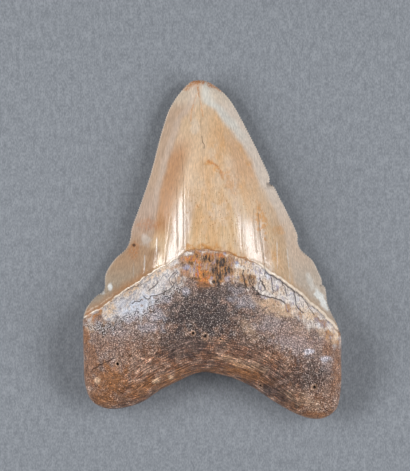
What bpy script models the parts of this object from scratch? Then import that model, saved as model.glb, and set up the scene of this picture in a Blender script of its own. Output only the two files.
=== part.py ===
"""Megalodon tooth: one solid, lying on its labial face with the lingual face up.

The origin is on the resting plane, under the centre of the tooth's box. +Y runs from the root to
the tip, +X to the right as seen from above, and +Z up through the lingual face.

The tooth grew as one piece, so it is one object. Two sheets make its surface, the lingual one
above and the labial one below, and they meet along the outline. Each sheet is a net of triangles
over the outline, lifted by the section law: height = midline height x lens across the width x
rounding at the rim.
"""

import math

import bmesh
import bpy
import numpy as np
from mathutils import Vector
from mathutils.geometry import delaunay_2d_cdt

MM = 0.001

# Outline seen from above, clockwise, in millimetres from the centre of the box.
TIP = [(-8.0, 55.2), (-6.3, 56.2), (-2.6, 56.3), (1.5, 54.2), (4.7, 51.4)]
RIGHT_EDGE = [(7.2, 48.1), (12.7, 38.1), (16.0, 31.4), (19.3, 24.0)]
RIGHT_NICK = [(19.4, 21.9), (20.5, 21.3)]
RIGHT_EDGE_LOW = [(23.1, 16.4), (27.3, 8.1), (28.7, 4.6), (28.7, 2.6)]
RIGHT_SHOULDER = [(29.5, 0.3), (33.4, -3.5), (36.7, -10.2), (36.9, -11.6), (37.8, -12.5)]
RIGHT_SHOULDER_LOW = [(38.3, -15.5), (38.8, -18.6), (41.9, -25.2)]
RIGHT_LOBE = [(42.9, -29.0), (43.0, -37.0), (42.8, -47.0), (41.2, -53.3), (37.2, -56.1)]
ARCH = [(33.7, -56.4), (27.7, -54.6), (20.0, -50.2), (12.7, -45.4), (5.4, -42.4), (-1.7, -40.9)]
ARCH_LEFT = [(-5.2, -41.2), (-10.7, -43.6), (-17.3, -46.9), (-23.3, -50.8), (-30.3, -52.9)]
LEFT_LOBE = [(-35.7, -52.8), (-40.0, -50.4), (-42.2, -44.9), (-42.7, -36.0), (-42.9, -28.0)]
LEFT_SHOULDER_LOW = [(-42.9, -22.6), (-41.3, -18.5), (-38.3, -15.1), (-36.6, -14.1)]
LEFT_SHOULDER = [(-36.0, -12.9), (-35.7, -8.6), (-32.7, -3.6), (-28.4, 0.9), (-27.4, 3.8)]
LEFT_EDGE = [(-27.0, 6.8), (-24.7, 13.1), (-20.7, 24.8), (-16.7, 39.8), (-13.6, 48.1)]
OUTLINE = (
    TIP + RIGHT_EDGE + RIGHT_NICK + RIGHT_EDGE_LOW + RIGHT_SHOULDER + RIGHT_SHOULDER_LOW
    + RIGHT_LOBE + ARCH + ARCH_LEFT + LEFT_LOBE + LEFT_SHOULDER_LOW + LEFT_SHOULDER + LEFT_EDGE
)
TIP_Y, ROOT_Y = 56.3, -56.4

# Lower border of the enamel, left to right: a chevron on the lingual face, flatter on the labial.
LINGUAL_ENAMEL = [
    (-43.5, -23.4), (-37.3, -20.1), (-30.7, -15.2), (-24.0, -10.6), (-17.3, -5.8), (-10.7, -0.9),
    (-4.0, -0.3), (3.3, -0.8), (13.0, -4.1), (20.3, -8.6), (30.3, -15.9), (37.7, -22.8), (43.5, -28.4),
]
LABIAL_ENAMEL = [(-43.5, -23.4), (-30.0, -19.5), (-14.0, -14.5), (0.0, -12.5), (15.0, -15.5),
                 (30.0, -21.5), (43.5, -28.4)]
ENAMEL_LEDGE = 0.5  # how far the enamel stands proud of the root at that border
LEDGE_RUN = 0.35  # half the width over which it steps down
BOURLETTE_FADE = 11.0  # the ledge's hollow has closed again this far below the border

# Heights along the midline, from the root's arch to the tip: (y, height above the rim).
LINGUAL_HEIGHT = [(-57, 7.4), (-50, 9.0), (-44, 10.8), (-38, 12.8), (-31, 14.7), (-24, 15.8), (-17, 16.1),
                  (-9, 15.9), (0, 15.2), (8, 14.3), (16, 12.8), (24, 10.9), (32, 8.6), (40, 6.1), (47, 4.0),
                  (52, 2.7), (57, 1.4)]
RIM_LEVEL = [(-56, 5.4), (-32, 5.4), (-24, 4.4), (-15, 3.4), (-6, 3.0), (20, 3.0), (40, 3.5), (57, 4.6)]
LABIAL_DEPTH = [(-20, 3.3), (12, 3.3), (30, 2.9), (45, 2.2), (57, 1.2)]
ROOT_HOLLOW = 0.9  # the labial face is hollow by this much between the root's lobes
HOLLOW_HALF = 0.5  # and that far out, as a share of the half width
LEAST_WALL = 0.35  # nowhere away from the rim is the tooth thinner

# Shape across the width: the lens is (1 - u^2) to a power that falls from the crown to the root.
LENS_POWER = [(-57, 0.33), (-32, 0.33), (-25, 0.47), (-18, 0.76), (-11, 1.06), (-4, 1.2), (6, 1.2), (20, 1.0),
              (57, 1.0)]
LABIAL_POWER = 0.9
WIDEN = 1.05  # the lens runs a little past the rim, so that the cutting edge isn't paper thin
SMOOTH_RUN = 4.0  # nicks and shoulders are averaged out of the lens over this length

# Rounding at the rim: (y, radius seen from above).
LINGUAL_ROUND = [(-40, 8.5), (-30, 7.5), (-22, 3.0), (-12, 1.2), (40, 1.1), (50, 1.6), (57, 3.0)]
LABIAL_ROUND = [(-40, 6.0), (-30, 5.0), (-22, 2.2), (-12, 1.0), (57, 1.0)]

# Lumps and hollows of the lingual face: (x, y, radius along x, radius along y, height).
LUMPS = [
    (-4.0, -8.0, 8.0, 5.5, -0.7),  # hollow under the middle of the enamel's border
    (-23.0, -19.5, 11.0, 5.0, 0.45),  # swellings along the bourlette
    (24.0, -16.5, 9.0, 5.0, 0.4),
    (10.0, -13.0, 5.0, 6.0, 0.35),
    (0.0, -24.0, 12.0, 8.0, 0.5),  # middle of the root
    (-14.0, -36.0, 7.0, 5.0, -0.45),
    (13.0, -34.0, 8.0, 6.0, -0.5),
    (-31.0, -44.0, 7.0, 6.0, 0.5),  # lobes
    (-34.0, -33.0, 5.0, 6.0, -0.35),
    (29.0, -46.0, 8.0, 6.0, 0.5),
    (34.0, -34.0, 6.0, 5.0, 0.4),
    (24.0, -27.0, 6.0, 4.0, -0.35),
    (18.6, 21.8, 2.6, 2.6, -1.1),  # chip behind the nick in the right cutting edge
    (36.2, -12.8, 2.4, 2.8, -0.7),  # chip on the right shoulder
    (-36.2, -14.2, 1.8, 1.8, 0.5),  # lump on the left shoulder
]
# Pores where vessels entered the root: (x, y, radius, depth).
PORES = [(-31.0, -37.6, 0.8, 0.9), (-6.2, -27.3, 0.7, 0.9), (-2.3, -28.3, 1.0, 0.6), (2.7, -29.3, 0.7, 0.6),
         (33.7, -45.4, 0.9, 0.7)]
PORE_SIDES = 7

# Spacing of the net's points.
RIM_SPACING = 1.2
LINGUAL_SPACING = 2.0
LABIAL_SPACING = 3.0
ROUNDING_ROWS = 5  # rows of points over the rounding at the rim
ROW_GAP = 0.38
BORDER_SPACING = 1.5

FOSSIL_BROWN = (0.33, 0.235, 0.16, 1.0)


def clear_scene():
    for obj in list(bpy.data.objects):
        bpy.data.objects.remove(obj)


def along(table, y):
    """Reads a table of (y, value) pairs with a smooth curve that never overshoots them."""
    ys, values = np.array(table, float).T
    chord = np.diff(values) / np.diff(ys)
    before, after = chord[:-1], chord[1:]
    same = before * after > 0
    mean = np.where(same, 2 * before * after / np.where(same, before + after, 1), 0)
    slopes = np.r_[chord[0], mean, chord[-1]]
    y = np.clip(y, ys[0], ys[-1])
    i = np.clip(np.searchsorted(ys, y) - 1, 0, len(ys) - 2)
    step = ys[i + 1] - ys[i]
    t = (y - ys[i]) / step
    rise = values[i + 1] - values[i]
    cubic = slopes[i] * step * t * (1 - t) ** 2 - slopes[i + 1] * step * t**2 * (1 - t)
    return values[i] + rise * t * t * (3 - 2 * t) + cubic


def ramp(low, high, x):
    """0 below low, 1 above high, smooth between."""
    t = np.clip((x - low) / (high - low), 0, 1)
    return t * t * (3 - 2 * t)


def closed_curve(points, spacing):
    """A smooth closed curve through the points (centripetal Catmull-Rom), at an even spacing."""
    p = np.array(points, float)
    before, after, last = np.roll(p, 1, 0), np.roll(p, -1, 0), np.roll(p, -2, 0)
    k0, k1, k2 = (np.sqrt(np.linalg.norm(b - a, axis=1)) for a, b in ((before, p), (p, after), (after, last)))
    t1, t2, t3 = k0, k0 + k1, k0 + k1 + k2
    dense = []
    for share in np.linspace(0, 1, 40, endpoint=False):
        t = (t1 + k1 * share)[:, None]
        a1 = (t1[:, None] - t) / k0[:, None] * before + t / k0[:, None] * p
        a2 = (t2[:, None] - t) / k1[:, None] * p + (t - t1[:, None]) / k1[:, None] * after
        a3 = (t3[:, None] - t) / k2[:, None] * after + (t - t2[:, None]) / k2[:, None] * last
        b1 = (t2[:, None] - t) / t2[:, None] * a1 + t / t2[:, None] * a2
        b2 = (t3[:, None] - t) / (k1 + k2)[:, None] * a2 + (t - t1[:, None]) / (k1 + k2)[:, None] * a3
        dense.append((t2[:, None] - t) / k1[:, None] * b1 + (t - t1[:, None]) / k1[:, None] * b2)
    curve = np.stack(dense, 1).reshape(-1, 2)
    ends = np.vstack([curve, curve[:1]])
    run = np.r_[0, np.cumsum(np.linalg.norm(np.diff(ends, axis=0), axis=1))]
    wanted = np.linspace(0, run[-1], round(run[-1] / spacing), endpoint=False)
    return np.c_[np.interp(wanted, run, ends[:, 0]), np.interp(wanted, run, ends[:, 1])]


def inside(points, ring):
    """Which points lie inside a closed ring, by counting crossings."""
    a, b = ring, np.roll(ring, -1, 0)
    x, y = points[:, 0, None], points[:, 1, None]
    spans = (a[:, 1] > y) != (b[:, 1] > y)
    with np.errstate(divide="ignore", invalid="ignore"):
        crossing = a[:, 0] + (y - a[:, 1]) * (b[:, 0] - a[:, 0]) / (b[:, 1] - a[:, 1])
    return (spans & (x < crossing)).sum(1) % 2 == 1


def distance_to(points, ring):
    """Distance from each point to a closed ring."""
    a = ring
    d = np.roll(ring, -1, 0) - a
    length2 = (d**2).sum(1)
    found = np.empty(len(points))
    for start in range(0, len(points), 2000):
        p = points[start : start + 2000, None, :]
        t = np.clip(((p - a) * d).sum(2) / length2, 0, 1)
        found[start : start + 2000] = np.sqrt((((a + t[..., None] * d) - p) ** 2).sum(2).min(1))
    return found


class Tooth:
    """The tooth's form: heights of the lingual and labial sheets at any place inside the outline."""

    def __init__(self):
        self.ring = closed_curve(OUTLINE, 0.25)
        self.level = np.arange(ROOT_Y, TIP_Y, 0.25)
        self.middle, self.half = self._mean_edges()

    def _mean_edges(self):
        """Centre and half width at each level, with the nicks and shoulders averaged out."""
        tip = int(np.argmax(self.ring[:, 1]))
        ring = np.roll(self.ring, -tip, 0)
        right = ring[: int(np.argmax(ring[:, 0])) + 1][::-1]
        left = ring[int(np.argmin(ring[:, 0])) :]
        # Below its widest place the tooth keeps its width: the lobes' ends are closed by the rim.
        x_right = np.interp(self.level, right[:, 1], right[:, 0])
        x_left = np.interp(self.level, left[:, 1], left[:, 0])
        reach = np.arange(-12, 12.01, 0.25)
        kernel = np.exp(-0.5 * (reach / SMOOTH_RUN) ** 2)
        kernel /= kernel.sum()
        edges = []
        for x in (x_left, x_right):
            padded = np.r_[np.full(48, x[0]), x, 2 * x[-1] - x[-2:-50:-1]]
            edges.append(np.convolve(padded, kernel, "valid"))
        # The averaging must not narrow the rounded tip.
        blend = ramp(38, 50, self.level)
        edges = [e * (1 - blend) + x * blend for e, x in zip(edges, (x_left, x_right))]
        return (edges[0] + edges[1]) / 2, np.maximum((edges[1] - edges[0]) / 2, 0.4)

    def across(self, x, y):
        """Place across the width, -1 at the left edge and 1 at the right."""
        u = (x - np.interp(y, self.level, self.middle)) / (np.interp(y, self.level, self.half) * WIDEN)
        return np.clip(u, -0.985, 0.985)

    @staticmethod
    def rim(depth, radius):
        """Round closing of a sheet towards the rim, 0 at the outline."""
        t = 1 - np.clip(depth / radius, 0, 1)
        return np.sqrt(1 - t * t)

    def lingual(self, x, y, depth):
        u = self.across(x, y)
        lens = (1 - u * u) ** along(LENS_POWER, y)
        height = along(LINGUAL_HEIGHT, y) * lens * self.rim(depth, along(LINGUAL_ROUND, y))
        inwards = ramp(0.2, 2.5, depth)
        relief = self.lumps(x, y) - self.ledge(x, y, LINGUAL_ENAMEL)
        height = along(RIM_LEVEL, y) + height + relief * inwards - self.pores(x, y)
        return np.maximum(height, self.labial(x, y, depth) + LEAST_WALL * inwards)

    def labial(self, x, y, depth):
        u = self.across(x, y)
        level = along(RIM_LEVEL, y)
        crown = along(LABIAL_DEPTH, y) * (1 - u * u) ** LABIAL_POWER
        root = level - ROOT_HOLLOW * (1 - (u / HOLLOW_HALF) ** 2)
        drop = np.minimum(root + (crown - root) * ramp(-34, -16, y), level)
        height = level - drop * self.rim(depth, along(LABIAL_ROUND, y))
        height += self.ledge(x, y, LABIAL_ENAMEL) * 0.5 * ramp(0.4, 3.0, depth)
        return np.maximum(height, 0.0)

    @staticmethod
    def ledge(x, y, border):
        """The step down from the enamel to the root, closing again over the bourlette."""
        below = along(border, x) - y
        return ENAMEL_LEDGE * ramp(-LEDGE_RUN, LEDGE_RUN, below) * (1 - ramp(0, BOURLETTE_FADE, below))

    @staticmethod
    def lumps(x, y):
        height = np.zeros(len(x))
        for x0, y0, rx, ry, rise in LUMPS:
            away = np.hypot((x - x0) / rx, (y - y0) / ry)
            height += rise * (1 - ramp(0, 1, away))
        return height

    @staticmethod
    def pores(x, y):
        depth = np.zeros(len(x))
        for x0, y0, radius, sink in PORES:
            depth += sink * (1 - ramp(0, 1, np.hypot(x - x0, y - y0) / radius))
        return depth


def offset_ring(ring, depth):
    """The ring moved inwards."""
    tangent = np.roll(ring, -1, 0) - np.roll(ring, 1, 0)
    inward = np.c_[tangent[:, 1], -tangent[:, 0]]
    return ring + inward / np.linalg.norm(inward, axis=1)[:, None] * depth


def spread(points, spacings, kept):
    """Adds the points that keep their spacing from those already there, in order."""
    cell = 0.8
    grid = {}
    for p in kept:
        grid.setdefault((int(p[0] // cell), int(p[1] // cell)), []).append(p)
    added = []
    for p, gap in zip(points, spacings):
        cx, cy = int(p[0] // cell), int(p[1] // cell)
        reach = int(gap // cell) + 1
        near = (
            q
            for i in range(cx - reach, cx + reach + 1)
            for j in range(cy - reach, cy + reach + 1)
            for q in grid.get((i, j), ())
        )
        if all((q[0] - p[0]) ** 2 + (q[1] - p[1]) ** 2 >= gap * gap for q in near):
            grid.setdefault((cx, cy), []).append(p)
            added.append(p)
    return np.array(added)


def rounding_rows(rim, rounding):
    """Rows over the rounding at the rim, with their spacings; close rows are left out point by point."""
    radius = along(rounding, rim[:, 1])
    before = np.zeros(len(rim))
    for row in range(1, ROUNDING_ROWS + 1):
        depth = radius * (1 - math.cos(row / ROUNDING_ROWS * math.pi / 2))
        kept = (depth - before > ROW_GAP) | (row == ROUNDING_ROWS)
        yield offset_ring(rim, depth[:, None])[kept], np.clip(0.8 * (depth - before), ROW_GAP, 1.0)[kept]
        before = np.where(kept, depth, before)


def even_net(spacing):
    """Points of an even triangular net over the whole outline's box."""
    xs = np.arange(-45, 45, spacing)
    ys = np.arange(ROOT_Y, TIP_Y, spacing * math.sqrt(0.75))
    return np.vstack([np.c_[xs + (i % 2) * spacing / 2, np.full(len(xs), y)] for i, y in enumerate(ys)])


def net_points(tooth, rim, border, rounding, spacing, pores):
    """Points inside the rim: round the pores, over the rounding, along the enamel's border, then even."""
    turns = np.arange(PORE_SIDES) / PORE_SIDES * math.tau
    parts = []
    for x, y, radius, _ in pores:
        for share in (0.0, 0.5, 1.0):
            ring = np.c_[x + share * radius * np.cos(turns), y + share * radius * np.sin(turns)]
            parts.append((ring[: 1 if share == 0.0 else None], 0.25))
    for row, gap in rounding_rows(rim, rounding):
        parts.append((row, gap))
    xs = np.arange(-41, 41, BORDER_SPACING)
    for side in (-1, 1):
        parts.append((np.c_[xs, along(border, xs) + side * LEDGE_RUN], 1.9 * LEDGE_RUN))
    parts.append((even_net(spacing), spacing * 0.72))
    points = np.vstack([row for row, _ in parts])
    gaps = np.concatenate([np.broadcast_to(gap, len(row)) for row, gap in parts])
    clear = inside(points, tooth.ring) & (distance_to(points, rim) > 0.25)
    return spread(points[clear], gaps[clear], rim)


def chords(faces, count):
    """Edges that cut across the inside from one rim point to another."""
    found = set()
    for face in faces:
        for a, b in zip(face, face[1:] + face[:1]):
            if a < count and b < count and (b - a) % count not in (1, count - 1):
                found.add((min(a, b), max(a, b)))
    return sorted(found)


def sheet(tooth, rim, height, inner):
    """(points of the sheet's inside with heights, triangles over rim then inside points)."""
    edges = [(i, (i + 1) % len(rim)) for i in range(len(rim))]
    crossing = True
    # The two sheets may share the rim only, so every chord gets a point of the sheet's own.
    while crossing:
        flat = [Vector(p) for p in np.vstack([rim, inner])]
        _, _, faces, *_ = delaunay_2d_cdt(flat, edges, [], 1, 1e-7)
        crossing = chords([list(face) for face in faces], len(rim))
        if crossing:
            a, b = np.array(crossing).T
            inner = np.vstack([inner, (rim[a] + rim[b]) / 2])
    depth = distance_to(inner, rim)
    return np.c_[inner, height(inner[:, 0], inner[:, 1], depth)], faces


def build_tooth():
    tooth = Tooth()
    rim = closed_curve(OUTLINE, RIM_SPACING)
    above = net_points(tooth, rim, LINGUAL_ENAMEL, LINGUAL_ROUND, LINGUAL_SPACING, PORES)
    below = net_points(tooth, rim, LABIAL_ENAMEL, LABIAL_ROUND, LABIAL_SPACING, [])
    top, top_faces = sheet(tooth, rim, tooth.lingual, above)
    bottom, bottom_faces = sheet(tooth, rim, tooth.labial, below)
    mesh = bmesh.new()
    level = along(RIM_LEVEL, rim[:, 1])
    shared = [mesh.verts.new(Vector((*p, z)) * MM) for p, z in zip(rim, level)]
    for sheet_points, faces, up in ((top, top_faces, True), (bottom, bottom_faces, False)):
        verts = shared + [mesh.verts.new(Vector(p) * MM) for p in sheet_points]
        for face in faces:
            corners = [verts[i] for i in face]
            mesh.faces.new(corners if up else corners[::-1])
    data = bpy.data.meshes.new("tooth")
    mesh.to_mesh(data)
    mesh.free()
    data.shade_smooth()
    data.set_sharp_from_angle(angle=math.radians(50))
    obj = bpy.data.objects.new("tooth", data)
    bpy.context.scene.collection.objects.link(obj)
    return obj


def fossil(name, colour, roughness):
    material = bpy.data.materials.new(name)
    material.use_nodes = True
    shader = material.node_tree.nodes["Principled BSDF"]
    shader.inputs["Base Color"].default_value = colour
    shader.inputs["Roughness"].default_value = roughness
    shader.inputs["Metallic"].default_value = 0.0
    return material


clear_scene()
build_tooth().data.materials.append(fossil("fossil tooth", FOSSIL_BROWN, 0.5))
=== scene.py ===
"""The looks of a fossil megalodon tooth lying on its labial face.

The surface is worked out in millimetres and brought to metres at the end. Two fine sheets, the
lingual one above and the labial one below, meet along the outline. They follow the same section law
as the solid that they replace, and carry what the solid leaves out: the lip of the enamel, cracks,
the flaky bourlette, pores and grain. A Geometry Nodes tree then cuts the serrations, roughens the
root and gives each layer its material.
"""

import math

import bpy
import numpy as np
from mathutils import Matrix, Vector, kdtree
from mathutils.geometry import delaunay_2d_cdt


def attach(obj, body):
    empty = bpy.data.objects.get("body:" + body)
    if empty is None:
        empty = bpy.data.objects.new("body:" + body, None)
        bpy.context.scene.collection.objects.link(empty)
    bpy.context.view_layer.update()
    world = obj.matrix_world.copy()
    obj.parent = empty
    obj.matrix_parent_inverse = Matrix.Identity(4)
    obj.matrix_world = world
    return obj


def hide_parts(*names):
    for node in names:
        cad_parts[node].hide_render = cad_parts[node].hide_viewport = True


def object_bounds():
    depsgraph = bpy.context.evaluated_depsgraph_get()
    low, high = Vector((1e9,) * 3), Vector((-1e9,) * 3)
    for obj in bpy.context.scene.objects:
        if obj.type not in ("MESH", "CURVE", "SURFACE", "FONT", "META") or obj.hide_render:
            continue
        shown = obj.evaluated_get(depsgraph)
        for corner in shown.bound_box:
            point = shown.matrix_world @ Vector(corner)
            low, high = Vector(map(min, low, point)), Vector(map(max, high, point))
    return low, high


MM_PER_METRE = 1000
MM = 1 / MM_PER_METRE

# ---------------------------------------------------------------------------------------------------
# Form, in millimetres from the middle of the tooth, +Y towards the tip

TIP = [(-8.0, 55.2), (-6.3, 56.2), (-2.6, 56.3), (1.5, 54.2), (4.7, 51.4)]
RIGHT_EDGE = [(7.2, 48.1), (12.7, 38.1), (16.0, 31.4), (19.3, 24.0)]
RIGHT_NICK = [(19.4, 21.9), (20.5, 21.3)]
RIGHT_EDGE_LOW = [(23.1, 16.4), (27.3, 8.1), (28.7, 4.6), (28.7, 2.6)]
RIGHT_SHOULDER = [(29.5, 0.3), (33.4, -3.5), (36.7, -10.2), (36.9, -11.6), (37.8, -12.5)]
RIGHT_SHOULDER_LOW = [(38.3, -15.5), (38.8, -18.6), (41.9, -25.2)]
RIGHT_LOBE = [(42.9, -29.0), (43.0, -37.0), (42.8, -47.0), (41.2, -53.3), (37.2, -56.1)]
ARCH = [(33.7, -56.4), (27.7, -54.6), (20.0, -50.2), (12.7, -45.4), (5.4, -42.4), (-1.7, -40.9)]
ARCH_LEFT = [(-5.2, -41.2), (-10.7, -43.6), (-17.3, -46.9), (-23.3, -50.8), (-30.3, -52.9)]
LEFT_LOBE = [(-35.7, -52.8), (-40.0, -50.4), (-42.2, -44.9), (-42.7, -36.0), (-42.9, -28.0)]
LEFT_SHOULDER_LOW = [(-42.9, -22.6), (-41.3, -18.5), (-38.3, -15.1), (-36.6, -14.1)]
LEFT_SHOULDER = [(-36.0, -12.9), (-35.7, -8.6), (-32.7, -3.6), (-28.4, 0.9), (-27.4, 3.8)]
LEFT_EDGE = [(-27.0, 6.8), (-24.7, 13.1), (-20.7, 24.8), (-16.7, 39.8), (-13.6, 48.1)]
OUTLINE = (
    TIP + RIGHT_EDGE + RIGHT_NICK + RIGHT_EDGE_LOW + RIGHT_SHOULDER + RIGHT_SHOULDER_LOW
    + RIGHT_LOBE + ARCH + ARCH_LEFT + LEFT_LOBE + LEFT_SHOULDER_LOW + LEFT_SHOULDER + LEFT_EDGE
)
TIP_Y, ROOT_Y = 56.3, -56.4

# Lower border of the enamel, left to right.
LINGUAL_ENAMEL = [
    (-43.5, -23.4), (-37.3, -20.1), (-30.7, -15.2), (-24.0, -10.8), (-18.7, -7.2), (-15.0, -5.2),
    (-11.8, -3.3), (-9.8, -1.7), (-7.8, -0.4), (-4.0, -0.1), (3.3, -0.8), (13.0, -4.1),
    (20.3, -8.6), (30.3, -15.9), (37.7, -22.8), (43.5, -28.4),
]
LABIAL_ENAMEL = [(-43.5, -23.4), (-30.0, -19.5), (-14.0, -14.5), (0.0, -12.5), (15.0, -15.5),
                 (30.0, -21.5), (43.5, -28.4)]
BORDER_END = 43.5
# How deep the enamel's lower edge steps down, and the run over which the root comes up again.
ENAMEL_LEDGE = 0.5
BOURLETTE_FADE = 11.0
# How far the bourlette reaches below the lingual enamel, left to right, measured square to its border.
BOURLETTE_DEPTH = [(-43.0, 2.6), (-40.0, 5.4), (-33.0, 8.4), (-27.0, 9.6), (-21.0, 11.2), (-14.0, 10.2),
                   (-9.0, 10.0), (-5.0, 12.3), (0.0, 12.8), (4.0, 10.4), (8.0, 8.2), (12.7, 8.2),
                   (17.0, 8.2), (22.7, 8.4), (29.3, 8.6), (36.0, 7.0), (40.0, 6.6), (43.0, 4.8)]

# Heights along the midline: (y, height above the rim).
LINGUAL_HEIGHT = [(-57, 7.4), (-50, 9.0), (-44, 10.8), (-38, 12.8), (-31, 14.7), (-24, 15.8), (-17, 16.1),
                  (-9, 15.9), (0, 15.2), (8, 14.3), (16, 12.8), (24, 10.9), (32, 8.6), (40, 6.1), (47, 4.0),
                  (52, 2.7), (57, 1.4)]
# Height of the rim above the floor, and depth of the labial face below the rim, by y.
RIM_LEVEL = [(-56, 5.4), (-32, 5.4), (-24, 4.4), (-15, 3.4), (-6, 3.0), (20, 3.0), (40, 3.5), (57, 4.6)]
LABIAL_DEPTH = [(-20, 3.3), (12, 3.3), (30, 2.9), (45, 2.2), (57, 1.2)]
# The root's under face: its hollow, the share of the width that this takes up, and where it ends.
ROOT_HOLLOW, HOLLOW_HALF = 0.9, 0.5
ROOT_TO_CROWN = (-34, -16)
LEAST_WALL = 0.35
# How the height falls off across the width: a low power is a full section, a high one a peaked section.
LENS_POWER = [(-57, 0.33), (-32, 0.33), (-25, 0.47), (-18, 0.76), (-11, 1.06), (-4, 1.2), (6, 1.2),
              (20, 1.0), (57, 1.0)]
LABIAL_POWER = 0.9
# The lens across the width follows evened edges, a little wider than the outline, down to the tip.
WIDEN = 1.05
FULL_WIDTH = 0.985
LEAST_HALF_WIDTH = 0.4
SMOOTH_RUN, SMOOTH_REACH = 4.0, 12.0
LEVEL_STEP = 0.25
TIP_TAPER = (38, 50)
# Radius of each sheet's rounding at the rim, by y.
LINGUAL_ROUND = [(-40, 8.5), (-30, 7.5), (-22, 3.0), (-12, 1.2), (40, 1.1), (50, 1.6), (57, 3.0)]
LABIAL_ROUND = [(-40, 6.0), (-30, 5.0), (-22, 2.2), (-12, 1.0), (57, 1.0)]

# Lumps and hollows of the lingual face: (x, y, radius along x, radius along y, height).
LUMPS = [
    (-4.0, -8.0, 8.0, 5.5, -0.7), (-23.0, -19.5, 11.0, 5.0, 0.45), (24.0, -16.5, 9.0, 5.0, 0.4),
    (10.0, -13.0, 5.0, 6.0, 0.35), (0.0, -24.0, 12.0, 8.0, 0.5), (-14.0, -36.0, 7.0, 5.0, -0.45),
    (13.0, -34.0, 8.0, 6.0, -0.5), (-31.0, -44.0, 7.0, 6.0, 0.5), (-34.0, -33.0, 5.0, 6.0, -0.35),
    (29.0, -46.0, 8.0, 6.0, 0.5), (34.0, -34.0, 6.0, 5.0, 0.4), (24.0, -27.0, 6.0, 4.0, -0.35),
    (19.0, 21.6, 2.4, 2.0, -0.9), (36.6, -12.4, 2.0, 2.4, -0.3), (-36.2, -14.2, 1.8, 1.8, 0.5),
]
# Vessel pores of the root: (x, y, radius, depth).
PORES = [(-31.0, -37.6, 0.6, 1.0), (-6.2, -27.3, 0.55, 1.0), (-2.3, -28.3, 0.8, 0.5),
         (2.7, -29.3, 0.5, 0.6), (33.7, -45.4, 0.7, 0.6), (16.0, -44.9, 0.5, 0.5)]

# ---------------------------------------------------------------------------------------------------
# Fine relief

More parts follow.
